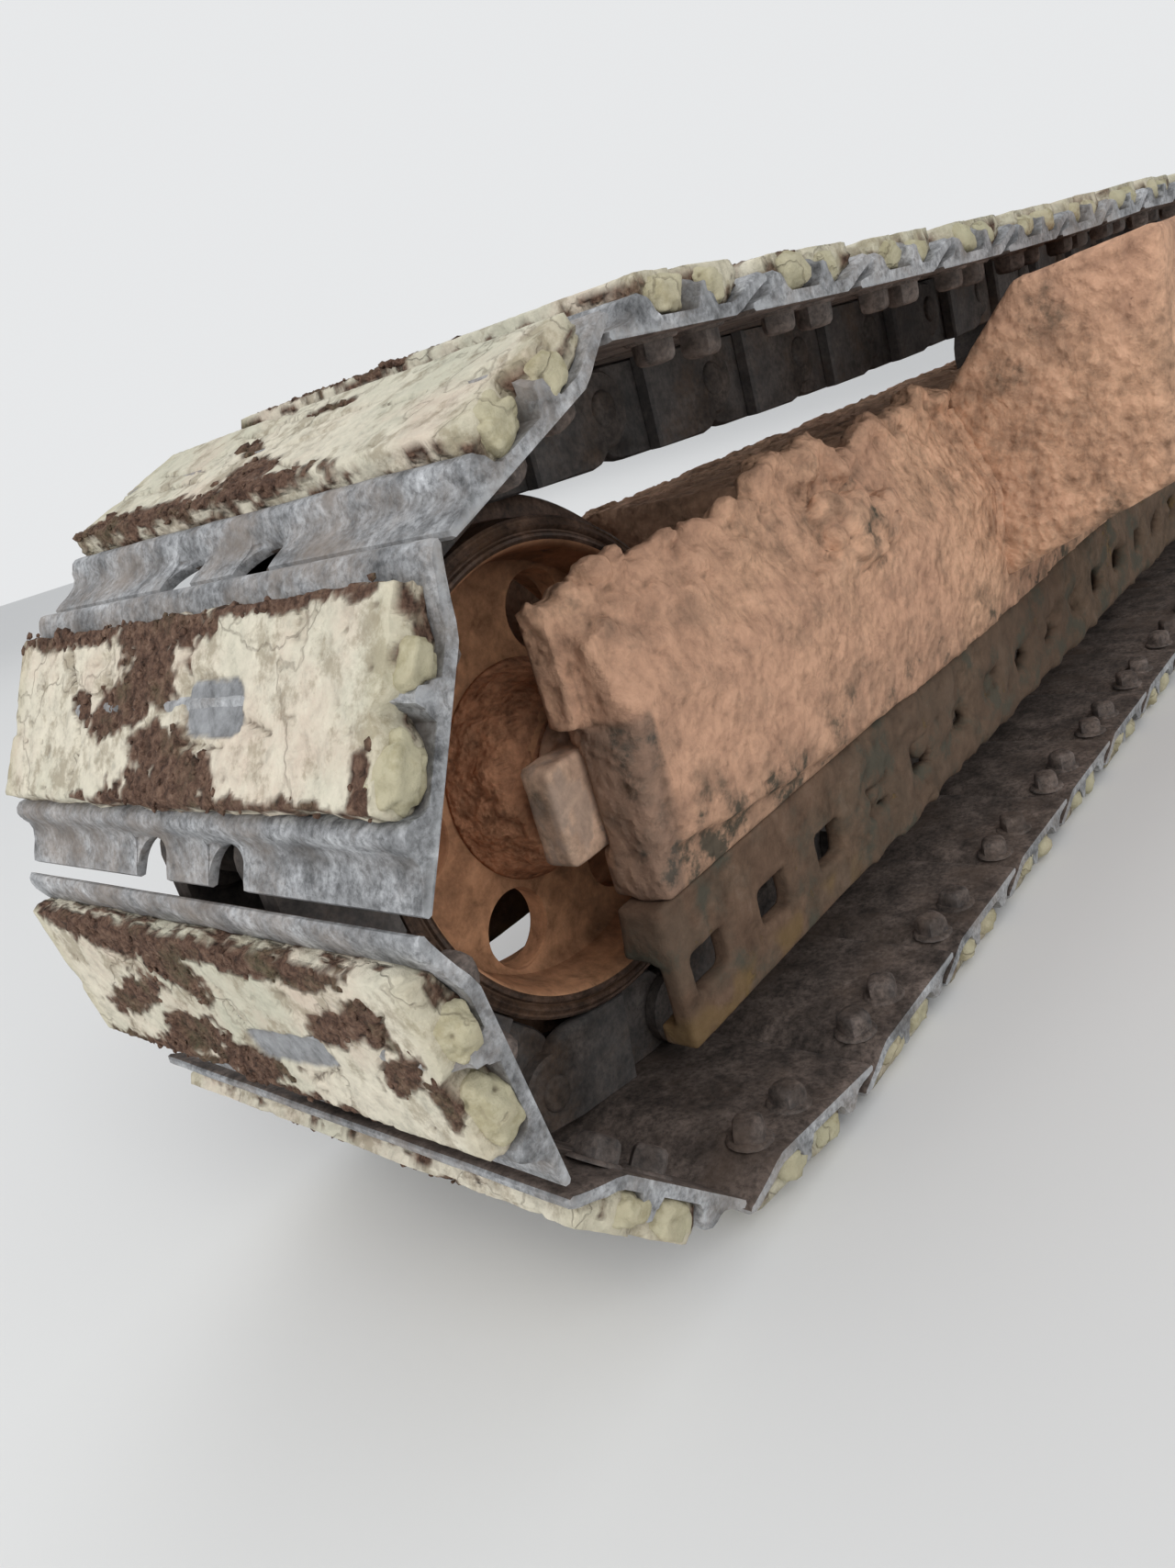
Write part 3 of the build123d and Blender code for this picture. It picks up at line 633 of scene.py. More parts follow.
def add_lump(bm, place, centre, half, seed, detail, rough_share, squareness=1.0, marks=None):
    """Rough rounded mass about a centre, with half sizes in millimetres, placed by a matrix."""
    made = bmesh.ops.create_icosphere(bm, subdivisions=detail, radius=1.0)
    for vert in made["verts"]:
        away = vert.co.normalized()
        grown = 1 + rough_share * (rough(away * 10, 9, seed) + 0.5 * rough(away * 10, 4, seed + 5))
        point = [centre[i] + half[i] * math.copysign(abs(away[i]) ** squareness, away[i]) * grown for i in range(3)]
        vert.co = place @ Vector(point)
        for layer, value in (marks or {}).items():
            vert[layer] = value


# Steel shoes: a lofted plate with a rising tail, a middle bar, a front ridge and a notched lip

NOTCH_MIDDLE = 38.0
NOTCH_HALF = 16.5
LIP = 90.0
LIP_RUN = 24.0
BAR_FOOT = LIP - LIP_RUN
BACK = 36.0


def lip_reach(y):
    """How far the lip reaches at a place across the shoe, short inside the two round notches."""
    off = abs(abs(y) - NOTCH_MIDDLE)
    if off >= NOTCH_HALF:
        return LIP
    return BAR_FOOT + 1 + NOTCH_HALF - math.sqrt(max(0.0, NOTCH_HALF ** 2 - off ** 2))


def shoe_columns(half, coarse):
    """Places across a shoe where its outline is drawn, closer at the notches and ends."""
    count = int(2 * half / (26.0 if coarse else 8.0))
    places = {round(-half + 2 * half * number / count, 3) for number in range(count + 1)}
    turns = 9 if coarse else 15
    for hand in (-1, 1):
        for number in range(turns):
            share = math.cos(math.pi * number / (turns - 1))
            places.add(round(hand * NOTCH_MIDDLE + share * (NOTCH_HALF - 0.001), 3))
        places.add(round(hand * (NOTCH_MIDDLE - NOTCH_HALF - 0.001), 3))
        places.add(round(hand * (NOTCH_MIDDLE + NOTCH_HALF + 0.001), 3))
        places.update(round(hand * (half - inset), 3) for inset in (1.2, 3.0, 6.0))
    kept = [min(places)]
    for y in sorted(places)[1:]:
        at_notch = abs(abs(y) - NOTCH_MIDDLE) < NOTCH_HALF + 0.01
        if y - kept[-1] > (0.0005 if at_notch else 1.1):
            kept.append(y)
    return kept


def shoe_outline(y, seed, half):
    """Outline of a shoe at one place across it, as (along, outward) points."""
    lip = lip_reach(y)
    wear = 0.7 * rough((y, 0, 0), 34, seed) + 0.4 * rough((y, 9, 0), 9, seed)
    soft = 1.8 * smoothstep(half - 4, half, abs(y)) ** 2
    bar = 58.4 + 0.4 * wear - 9 * smoothstep(half - 16, half - 4, abs(y))
    crest = 48.6 + 0.8 * wear - soft
    foot = PIN_TO_SHOE + 0.8 * soft / 1.8
    run = (lip - BAR_FOOT) / LIP_RUN
    points = [
        (-lip + 1.5, foot + 0.2), (-lip + 14 * run + 1, foot), (-50, foot), (-20, foot), (10, foot),
        (26, foot), (34, foot + 2.6), (42, foot + 6.4), (52, foot + 10.6), (60, foot + 13.6), (63.6, 43.4),
        (65.0, 45.2), (65.2, 47.0 - soft), (63.6, 48.9 + 0.4 * wear - soft), (60.4, 49.6 + 0.5 * wear - soft),
        (55.5, 49.0 + 0.4 * wear - soft), (47.5, 45.8 - soft), (38, 41.0), (31, 37.4), (25, BACK),
        (9.5, BACK), (6.6, 42), (5.2, bar - 7), (3.6, bar - 1.4), (0, bar),
        (-3.6, bar - 1.2), (-5.2, bar - 7), (-6.6, 42), (-9.5, BACK),
        (-44, BACK), (-48.0, 38.6), (-50.8, 44.5 - soft * 0.5), (-53.6, crest - 0.9), (-57.2, crest + 0.2),
        (-60.6, crest - 0.5), (-62.8, crest - 2.6), (-64.2, 43.2), (-66.0, 39.4), (-69.5, 36.6),
    ]
    if lip < LIP:
        points[-1] = (-66.8 - 2.43 * run, 36.8)
        points += [(-66.9 - 2.6 * run, 35.4), (-66.95 - 6 * run, 34.6), (-lip, 33.6), (-lip, 30.5)]
    else:
        points += [(-76, 34.9), (-84, 34.2 + 0.3 * wear), (-89.2, 33.2 + 0.3 * wear), (-90.0, 30.6)]
    return points


def build_shoes(name, numbers, links, coarse):
    """One mesh with the shoes of the given links."""
    bm = bmesh.new()
    half = sizes().shoe_width * 500
    columns = shoe_columns(half, coarse)
    for number in numbers:
        place = link_matrix(links[number])
        seed = 3.7 * number + 1.3
        rings = []
        for y in columns:
            dent = 0.3 * rough((y, 3, number), 45, seed)
            rings.append([place @ Vector((a, y, n + (dent if n > 33 else 0)))
                          for a, n in shoe_outline(y, seed, half)])
        add_loft(bm, rings)
    close_up(bm)
    for face in bm.faces:
        face.material_index = 1 if face.normal.dot(face_outward(face, links, numbers)) < -0.5 else 0
    return make_object(name, bm, "frame", [finish("shoe steel"), finish("shoe inside")], smooth=38)


def face_outward(face, links, numbers):
    """Outward direction of the link that a face is nearest to."""
    centre = face.calc_center_median()
    x, z = (centre.x - axle.x) * 1000, (centre.z - axle.z) * 1000
    nearest = min(numbers, key=lambda n: (links[n][0] - x) ** 2 + (links[n][1] - z) ** 2)
    turn = math.radians(links[nearest][2])
    return Vector((math.cos(turn), 0, math.sin(turn)))


def front_link_numbers(links):
    """Links near the idler, which get more detail, and the rest."""
    near = [number for number, (x, z, _) in enumerate(links) if x > (-700 if z > 0 else -240)]
    return near, [number for number in range(len(links)) if number not in near]


# Chain links, bushes, pins and the shoes' nuts, all in millimetres but MERGE

MERGE = 0.000002
NUT_POINTS = 16
NUT_HALF = 12.6
NUT_FACE = 27.6
NUT_ACROSS = 165
TURNED_UP = Matrix.Rotation(math.radians(90), 4, "X")


def link_half_outline(front):
    """Outline of one half of a link's side plate, round its boss."""
    sign = -1 if front else 1
    points = [(-12 * sign, 27.9), (sign * 46, 27.9)]
    for turn in range(0, 13):
        angle = math.radians(74 - turn * 14.4)
        points.append((sign * (67.5 + 25.8 * math.cos(angle)), 25.8 * math.sin(angle)))
    points += [(sign * 61, -29), (sign * 54, -34), (sign * 44, -PIN_TO_TREAD), (-12 * sign, -PIN_TO_TREAD)]
    return points


def build_links(links):
    """Side plates, bushes and pins of every link."""
    bm = bmesh.new()
    for link in links:
        place = link_matrix(link)
        for hand in (1, -1):
            for front, inner, outer in ((True, 26, 38.4), (False, 37.2, 50)):
                add_prism(bm, link_half_outline(front), *sorted((hand * inner, hand * outer)), place, bevel=2.2)
        for r, reach in ((15.0, 27.5), (12.5, 52.6)):
            add_turned(bm, [(-reach, 0), (-reach, r - 3), (-reach + 1, r - 1), (-reach + 3, r), (reach - 3, r),
                            (reach - 1, r - 1), (reach, r - 3), (reach, 0)],
                       place @ Matrix.Translation((67.5, 0, 0)), steps=20)
    close_up(bm, MERGE)
    return make_object("chain_links", bm, "frame", [finish("dark link")], smooth=40)


def add_nut(bm, place, along, across, height, turned):
    """Square nut with worn, rounded corners, standing on the inside of a shoe."""
    rings = []
    for share, level in ((1.0, 0.0), (1.0, 0.55), (0.94, 0.80), (0.78, 0.95), (0.40, 1.0)):
        ring = []
        for step in range(NUT_POINTS):
            turn = 2 * math.pi * step / NUT_POINTS
            corner = math.cos(math.pi / 4) / math.cos((turn % (math.pi / 2)) - math.pi / 4)
            reach = NUT_HALF * share * (0.5 * corner + 0.5 * 0.93)
            a = along + reach * math.cos(turn + turned)
            y = across + reach * math.sin(turn + turned)
            ring.append(place @ Vector((a, y, NUT_FACE - level * height)))
        rings.append(ring)
    add_loft(bm, rings)


def build_shoe_nuts(links):
    """Pad nuts on washers at the ends of every shoe, all on its inside."""
    bm = bmesh.new()
    chance = random.Random(17)
    for link in links:
        place = link_matrix(link)
        for hand in (1, -1):
            for along in (-23, 23):
                spot = place @ Matrix.Translation((along, hand * NUT_ACROSS, 28.2)) @ TURNED_UP
                add_nut(bm, place, along, hand * NUT_ACROSS, chance.uniform(12.5, 15.5), chance.uniform(0, 1.5))
                add_turned(bm, [(-2.0, 0), (-2.0, 13.6), (-1.4, 14.4), (-0.2, 15.4), (0.4, 15.5), (0.4, 0)],
                           spot, steps=14)
    close_up(bm, MERGE)
    return make_object("shoe_nuts", bm, "frame", [finish("shoe inside")], smooth=45)


# Pads: worn rubber slabs with earth crusts, cracks, hooked ends and scraped steel over the middle bar

# Marks by link: kind, middle along and across, half sizes along and across, turn in degrees
PAD_MARKS = {
    35: (("crust", 40, -8, 14, 62, 0), ("crust", 44, -110, 8, 74, 0), ("crust", 20, -16, 22, 34, 10),
         ("crust", 2, -34, 16, 52, -12), ("crust", -22, 0, 16, 30, 0), ("crust", -40, 12, 16, 58, -8),
         ("crust", -53, 40, 9, 140, 0), ("crust", 45, 95, 7, 74, 0), ("crust", -38, 172, 16, 9, 0),
         ("crust", 2, -88, 8, 16, 30), ("bare", -3, 52, 15, 27, -8)),
    36: (("crust", 42, -90, 16, 92, 4), ("crust", 44, 0, 12, 62, 0), ("crust", 42, 75, 10, 64, 0),
         ("crust", 24, -32, 16, 36, 20), ("crust", -6, -100, 12, 54, -22), ("crust", -28, -54, 16, 52, -14),
         ("crust", -36, 0, 16, 48, -10), ("crust", -51, -40, 10, 150, 0), ("crust", 12, 112, 11, 32, -24),
         ("crust", 20, 142, 18, 13, -30), ("crust", -8, 148, 10, 26, -30), ("crust", -20, 172, 16, 9, 0),
         ("bare", -13, 56, 10, 40, -10)),
    34: (("crust", -34, -2, 16, 30, 15), ("crust", -48, 20, 9, 80, 0), ("crust", -46, -120, 12, 80, 0),
         ("crust", 8, -40, 7, 20, 40), ("crust", 28, 20, 5, 30, 0), ("bare", 0, -176, 5, 5, 0)),
    33: (("crust", -42, -60, 9, 120, 0), ("crust", -30, 10, 10, 26, 0), ("crust", 40, -40, 8, 90, 0),
         ("crust", 10, 60, 10, 30, 30)),
    37: (("crust", 30, 0, 12, 120, 0), ("crust", -20, -60, 18, 60, 20), ("crust", 10, 120, 16, 30, 0)),
}
# Cracks by link, as from along, across to along, across
PAD_CRACKS = {
    35: ((-20, -86, -56, -104), (38, -114, 14, -102), (36, 22, -20, 28), (-20, 20, -21, 62), (12, 58, -10, 70),
         (-8, 78, -17, 104), (14, -102, -22, -86)),
    36: ((20, 10, -4, 20), (30, 158, -12, 130), (-16, 96, -34, 60), (40, -60, 10, -90)),
    34: ((10, -150, -6, -70), (-10, -150, -20, -60), (30, -80, 26, 40), (-8, 12, -5, 60), (12, 0, 10, 70),
         (-30, 30, -44, 60), (2, 90, 0, 120)),
}
# Hooks at a pad's ends: middle along, half length along, middle outward
HOOKS = ((11, 12.5, 45.5), (-31, 15.0, 46.5))
# The pads' edges along a link, and the notch worn into their ends
PAD_LOW, PAD_HIGH = -53.0, 48.5
END_NOTCH = -8.5
RIM_LEVELS = {4: 7, 3: 4, 2: 3}


def mark_strength(a, y, mark, seed):
    """How strong a mark is at a place, with a ragged rim; bare places are squarer than crusts."""
    kind, middle_a, middle_y, half_a, half_y, turned = mark
    cos, sin = math.cos(math.radians(turned)), math.sin(math.radians(turned))
    da, dy = a - middle_a, y - middle_y
    u, v = (da * cos + dy * sin) / half_a, (dy * cos - da * sin) / half_y
    if abs(u) > 1.7 or abs(v) > 1.7:
        return 0.0
    ragged = 0.45 * rough((a, y, 5), 13, seed) + 0.28 * rough((a, y, 7), 5, seed)
    if kind == "bare":
        u += 0.28 * v
        return 1 - smoothstep(0.90, 1.0, (abs(u) ** 5 + abs(v) ** 5) ** 0.2 + 0.16 * ragged)
    return 1 - smoothstep(0.82, 1.06, math.hypot(u, v) + ragged)


def crack_depth(a, y, cracks, seed):
    """How deep a place lies in the nearest crack, from 0 to 1."""
    deepest = 0.0
    for a0, y0, a1, y1 in cracks:
        da, dy = a1 - a0, y1 - y0
        share = min(max(((a - a0) * da + (y - y0) * dy) / (da * da + dy * dy), 0.0), 1.0)
        off = math.hypot(a - a0 - share * da, y - y0 - share * dy)
        if off < 9:
            off = abs(off - 2.6 * abs(rough((a, y, 1), 11, seed)) - 1.2 * abs(rough((a, y, 3), 4, seed)))
            width = 0.8 + 1.3 * math.sin(math.pi * (0.08 + 0.84 * share))
            deepest = max(deepest, 1 - smoothstep(0.2 * width, width, off))
    return deepest


def chance_marks(number, half):
    """Marks and cracks of a pad that has none of its own."""
    chance = random.Random(100 + number)
    marks = [("crust", chance.choice((-47, 46)), chance.uniform(-120, 120), 6, chance.uniform(50, 120), 0)]
    for _ in range(chance.randint(2, 4)):
        marks.append(("crust", chance.uniform(-35, 35), chance.uniform(-half, half), chance.uniform(6, 16),
                      chance.uniform(14, 45), chance.uniform(-30, 30)))
    if chance.random() < 0.45:
        marks.append(("bare", chance.uniform(-6, 6), chance.uniform(-110, 110), chance.uniform(6, 12),
                      chance.uniform(15, 40), chance.uniform(-15, 15)))
    cracks = []
    for _ in range(3):
        a, y = chance.uniform(-40, 40), chance.uniform(-half, half)
        cracks.append((a, y, a + chance.uniform(-25, 25), y + chance.uniform(-60, 60)))
    return marks, cracks


def pad_surface(a, y, seed, half, marks, cracks):
    """Height of a pad's face above the pins there, and its crust and bare steel."""
    top = PIN_TO_SHOE + sizes().pad_height * 1000
    crust = max((mark_strength(a, y, mark, seed) for mark in marks if mark[0] == "crust"), default=0.0)
    bare = max((mark_strength(a, y, mark, seed) for mark in marks if mark[0] == "bare"), default=0.0)
    broad = layered((a, y, seed), 70, seed, 3)
    lumpy = rough((a, y, 4), 6.5, seed)
    height = top - 1.6 + 1.1 * broad + 0.28 * lumpy + 0.16 * rough((a, y, 6), 2.6, seed)
    height -= 2.6 * smoothstep(0.26, 0.36, layered((a * 1.2, y * 0.8, 3), 60, seed + 9.1, 4))
    height -= 2.6 * crack_depth(a, y, cracks, seed)
    pit = smoothstep(0.52, 0.66, rough((a, y, 11), 9, seed + 3))
    height -= 1.5 * pit
    crumbly = 0.9 * lumpy + 1.3 * rough((a, y, 8), 3.1, seed) + 0.6
    height += crust * (crumbly - 0.9)
    height = (1 - bare) * height + bare * (top - 3.4)
    ragged = 3.4 * rough((a * 0.6, y, 2), 26, seed + 5)
    rim = max(smoothstep(half - 7 + ragged, half + 2, abs(y)), smoothstep(43 + ragged * 0.5, 50, a),
              smoothstep(46 + ragged * 0.5, 54, -a))
    height -= 5.0 * rim ** 2.2
    return min(height, top + 0.4 * crust), crust * (1 - bare), bare


def build_pads(name, numbers, links, step_a, step_y, hook_detail, crumbs):
    """Pads of the given links, with their hooked ends and loose crumbs of earth."""
    bm = bmesh.new()
    crust_layer, bare_layer, tongue_layer = (bm.verts.layers.float.new(mark) for mark in ("crust", "bare", "tongue"))
    half = sizes().shoe_width * 500 - 4
    pad_foot = PIN_TO_SHOE + sizes().pad_height * 1000 - 5
    for number in numbers:
        place = link_matrix(links[number])
        seed = 1.37 * number + 0.5
        marks, cracks = chance_marks(number, half)
        marks, cracks = PAD_MARKS.get(number, marks), PAD_CRACKS.get(number, cracks)
        chance = random.Random(number)
        count_a, count_y = int((PAD_HIGH - PAD_LOW) / step_a), int(2 * half / step_y)

        def spot(i, j):
            a = PAD_LOW + (PAD_HIGH - PAD_LOW) * i / count_a
            y = -half + 2 * half * j / count_y
            edge_y = smoothstep(half - 16, half, abs(y))
            edge_a = max(smoothstep(34, PAD_HIGH, a), smoothstep(38, -PAD_LOW, -a))
            notch = 7.0 * math.exp(-((a - END_NOTCH) / 6.5) ** 2)
            pull_y = 1.5 + notch + 5.0 * (0.5 + layered((a, y, 1), 22, seed, 3))
            pull_a = 0.4 + 4.2 * (0.5 + layered((a, y, 2), 26, seed, 3))
            return a - math.copysign(edge_a * pull_a, a), y - math.copysign(edge_y * pull_y, y)

        rows = []
        crusty = []
        for i in range(count_a + 1):
            row = []
            for j in range(count_y + 1):
                a, y = spot(i, j)
                height, crust, bare = pad_surface(a, y, seed, half, marks, cracks)
                vert = bm.verts.new(place @ Vector((a, y, height)))
                vert[crust_layer], vert[bare_layer] = crust, bare
                vert[tongue_layer] = 0.45 * smoothstep(half - 22, half - 6, abs(y))
                if crust > 0.6:
                    crusty.append((a, y, height))
                row.append(vert)
            rows.append(row)
        for i in range(count_a):
            for j in range(count_y):
                bm.faces.new((rows[i][j], rows[i][j + 1], rows[i + 1][j + 1], rows[i + 1][j]))
        rim = ([(0, j) for j in range(count_y)] + [(i, count_y) for i in range(count_a)]
               + [(count_a, j) for j in range(count_y, 0, -1)] + [(i, 0) for i in range(count_a, 0, -1)])
        previous = [rows[i][j] for i, j in rim]
        levels = RIM_LEVELS[hook_detail]
        for level in [1 - (step + 1) / levels for step in range(levels)]:
            ring = []
            for (i, j), above in zip(rim, previous):
                a, y = spot(i, j)
                floor = BACK + max(0.0, a - 25) * 0.43 + max(0.0, -a - 47) * 1.7
                bulge = 2.6 * layered((a, y, level * 26), 12, seed, 3) + 1.2 * math.sin(math.pi * level)
                da = math.copysign(bulge, a) if i in (0, count_a) else 0
                dy = math.copysign(bulge, y) if j in (0, count_y) else 0
                vert = bm.verts.new(place @ Vector((a + da, y + dy, floor + (pad_foot - floor) * level)))
                patch = smoothstep(0.0, 0.25, layered((a, y, level * 45), 20, seed, 3))
                hanging = above[crust_layer] * smoothstep(-0.3, 0.2, rough((a, y, level * 40), 9, seed))
                vert[crust_layer] = max(hanging, patch)
                vert[tongue_layer] = above[tongue_layer]
                ring.append(vert)
            for k in range(len(rim)):
                m = (k + 1) % len(rim)
                bm.faces.new((previous[k], ring[k], ring[m], previous[m]))
            previous = ring
        bm.faces.new(list(reversed(previous)))
        for hand in (1, -1):
            for along, half_a, out in HOOKS:
                size = chance.uniform(0.88, 1.1)
                add_lump(bm, place, (along + chance.uniform(-2, 2), hand * (half - 8 + chance.uniform(-2, 1.5)), out),
                         (half_a * size, 12.5, 10.5 * size), seed + along, hook_detail, 0.34, 0.72,
                         {tongue_layer: 1.0, crust_layer: 0.0})
        for _ in range(crumbs):
            if not crusty:
                break
            a, y, height = chance.choice(crusty)
            size = chance.uniform(0.8, 2.4) * (1.6 if chance.random() < 0.12 else 1)
            add_lump(bm, place, (a + chance.uniform(-3, 3), y + chance.uniform(-3, 3), height - 0.2 * size),
                     (size * chance.uniform(0.8, 1.6), size * chance.uniform(0.8, 1.6), size * 0.8),
                     chance.uniform(0, 90), 1, 0.5, 1.0, {crust_layer: 1.0})
    close_up(bm)
    return make_object(name, bm, "frame", [finish("pad rubber")], smooth=0)


# Idler: spun profile with a grooved rim, six lightening holes and clay caked round the hub

FIRST_HOLE = -62
HOLE_CIRCLE = 108
RIM_START = 147.8
# The hub from the web outward: across, radius, share of the clay's thickness
HUB = ((10.0, 76, 0.0), (12, 73.5, 0.35), (15, 71, 0.55), (19.5, 69, 0.75), (24, 67.5, 0.9), (29, 65.5, 0.95),
       (34, 64, 1.0), (40, 62.5, 1.0), (46, 61, 1.0), (50, 60, 0.95), (54, 58.5, 0.9), (57, 56.5, 0.8),
       (59.5, 53, 0.7), (61, 49.5, 0.5), (62.2, 46, 0.25), (62.2, 40, 0.0), (40, 40, 0.0), (10, 60, 0.0))


def cut_with(piece, cutters):
    """Cuts the cutters out of the piece and keeps the result as its mesh."""
    for cutter in cutters:
        modifier = piece.modifiers.new("cut", "BOOLEAN")
        modifier.operation = "DIFFERENCE"
        modifier.solver = "EXACT"
        modifier.object = cutter
    depsgraph = bpy.context.evaluated_depsgraph_get()
    mesh = bpy.data.meshes.new_from_object(piece.evaluated_get(depsgraph))
    piece.modifiers.clear()
    old = piece.data
    piece.data = mesh
    mesh.name = old.name
    bpy.data.meshes.remove(old)
    for cutter in cutters:
        bpy.data.objects.remove(cutter, do_unlink=True)


def build_idler():
    """Casting with its rim grooves; the flange and the two treads get the darker, polished finish."""
    web_side = [
        (62, 28), (62, 50), (60.5, 54), (57, 55.8), (30, 60.5), (14, 66), (9.2, 72), (8, 80),
        (8, 126), (9.5, 133), (14, 138.4), (28, 141.6),
    ]
    rim = [
        (44, 143.6), (49, 145.2), (51.4, 147.2), (52.4, 149.4), (52.0, 151.2), (50.4, 152.4), (50.2, 153.6),
        (51.6, 154.8), (52.2, 156.6), (51.2, 158.2), (50.6, 159.4), (51.0, 160.8), (49.6, 162.6), (47, 163),
        (24, 163), (22, 164.5), (21, 176), (19.6, 179.4), (16.5, 181), (0, 181),
    ]
    half = web_side + rim
    bore = [(-62, 22.2), (62, 22.2)]
    bm = bmesh.new()
    add_turned(bm, half + [(-y, r) for y, r in reversed(half[:-1])] + bore, axle_matrix(), steps=144)
    close_up(bm)
    piece = make_object("idler_casting", bm, "idler", [finish("idler dust"), finish("tread")], smooth=32)
    cutters = []
    for number in range(6):
        turn = math.radians(FIRST_HOLE + 60 * number)
        hole = bmesh.new()
        centre = Matrix.Translation((HOLE_CIRCLE * math.cos(turn), 0, HOLE_CIRCLE * math.sin(turn)))
        add_turned(hole, [(-30, 0), (-30, 28.5), (-8, 27.6), (-6.6, 27), (6.6, 27), (8, 27.6), (30, 28.5), (30, 0)],
                   axle_matrix() @ centre)
        close_up(hole)
        mesh = bpy.data.meshes.new("hole")
        hole.to_mesh(mesh)
        hole.free()
        cutter = bpy.data.objects.new("hole", mesh)
        bpy.context.scene.collection.objects.link(cutter)
        cutters.append(cutter)
    cut_with(piece, cutters)
    for face in piece.data.polygons:
        away = face.center - axle
        if math.hypot(away.x, away.z) > RIM_START / 1000:
            face.material_index = 1
    return piece


def build_hub_clay():
    """Clay caked on both hubs, thickest in a crescent on the forward side."""
    bm = bmesh.new()
    for hand in (1, -1):
        rings = []
        for step in range(180):
            turn = math.radians(2 * step)
            thick = 1.2 + 7.5 * math.exp(-((math.degrees(turn) - 20 + 180) % 360 - 180) ** 2 / 3800.0)
            ring = []
            for across, radius, share in HUB:
                point = (radius * math.cos(turn), across, radius * math.sin(turn))
                slab = smoothstep(0.0, 0.10, layered(point, 26, 9 + hand, 3))
                grown = share * thick * (0.75 + 0.55 * slab + 0.9 * layered(point, 13, 4 + hand, 4)) - 0.8
                reach = radius + grown
                out = hand * min(across + 0.25 * grown * share, 63.5)
                ring.append(axle_matrix() @ Vector((reach * math.cos(turn), out, reach * math.sin(turn))))
            rings.append(ring)
        rings.append(list(rings[0]))
        add_loft(bm, rings, closed_ends=False)
    close_up(bm, 10 * MERGE)
    piece = make_object("idler_hub_clay", bm, "idler", [finish("hub clay")], smooth=0)
    return piece


# Clay-coated skins: a copy of a solid is remeshed, rounded and thickened with clay

def to_axle(point):
    """Millimetres from the idler's axle of a point in metres."""
    return ((point.x - axle.x) * 1000, (point.y - axle.y) * 1000, (point.z - axle.z) * 1000)


def add_solid(bm, node, low_x, high_x):
    """Adds the part of a solid between two places along the unit, closed where it is cut."""
    part = bmesh.new()
    part.from_mesh(frame["nodes"][node].data)
    bmesh.ops.remove_doubles(part, verts=part.verts, dist=0.00001)
    for x, side in ((low_x, -1), (high_x, 1)):
        everything = list(part.verts) + list(part.edges) + list(part.faces)
        cut = bmesh.ops.bisect_plane(part, geom=everything, dist=1e-7, plane_co=(axle.x + x / 1000, 0, 0),
                                     plane_no=(side, 0, 0), clear_outer=True)
        rims = [item for item in cut["geom_cut"] if isinstance(item, bmesh.types.BMEdge)]
        if rims:
            bmesh.ops.triangle_fill(part, edges=rims, use_beauty=True)
    mesh = bpy.data.meshes.new("part")
    part.to_mesh(mesh)
    part.free()
    bm.from_mesh(mesh)
    bpy.data.meshes.remove(mesh)


def remeshed(bm, voxel, rounding):
    """Even, slightly rounded skin round everything in the mesh."""
    close_up(bm)
    mesh = bpy.data.meshes.new("rough")
    bm.to_mesh(mesh)
    bm.free()
    body = bpy.data.objects.new("rough", mesh)
    bpy.context.scene.collection.objects.link(body)
    remesh = body.modifiers.new("remesh", "REMESH")
    remesh.mode = "VOXEL"
    remesh.voxel_size = voxel / 1000
    remesh.adaptivity = 0.0
    ease = body.modifiers.new("ease", "SMOOTH")
    ease.factor = 0.5
    ease.iterations = rounding
    even = bpy.data.meshes.new_from_object(body.evaluated_get(bpy.context.evaluated_depsgraph_get()))
    bpy.data.objects.remove(body, do_unlink=True)
    bpy.data.meshes.remove(mesh)
    skin = bmesh.new()
    skin.from_mesh(even)
    bpy.data.meshes.remove(even)
    skin.normal_update()
    return skin


def clay_skin(name, node, voxel, coat, finish_name, body="frame", low_x=-3000, high_x=3000, clods=(), rounding=1,
              inside=None):
    """Remeshed skin of a solid with lumps, moved out by a coat of clay that also leaves its marks."""
    bm = bmesh.new()
    add_solid(bm, node, low_x, high_x)
    for number, (x, y, z, rx, ry, rz) in enumerate(clods):
        add_lump(bm, axle_matrix(), (x, y, z), (rx, ry, rz), 3.1 * number + 0.7, 3, 0.55)
    skin = remeshed(bm, voxel, rounding)
    if inside:
        hidden = [face for face in skin.faces if inside(to_axle(face.calc_center_median()))]
        bmesh.ops.delete(skin, geom=hidden, context="FACES")
    # Marks for the material: dark stains together with painted shade, and scraped spots.
    stain_and_shade_layer, scraped_layer = (skin.verts.layers.float.new(mark) for mark in ("stain_and_shade", "scraped"))
    moves = []
    for vert in skin.verts:
        depth, stain_and_shade, scraped = coat(to_axle(vert.co), vert.normal)
        vert[stain_and_shade_layer], vert[scraped_layer] = stain_and_shade, scraped
        moves.append(vert.normal * (depth / 1000))
    for vert, move in zip(skin.verts, moves):
        vert.co += move
    return make_object(name, skin, body, [finish(finish_name)], smooth=0)


def crumble(point, seed):
    """Broken clay surface: low waves, slabs with edges and small crumbs."""
    slab = layered(point, 48, seed, 4)
    crumbs = layered(point, 8.5, seed + 4, 3)
    return 1.1 * layered(point, 90, seed + 8, 3) + 1.5 * smoothstep(0.03, 0.10, slab) + 0.9 * crumbs


# The clay on the side frame, with clods as middle and half sizes

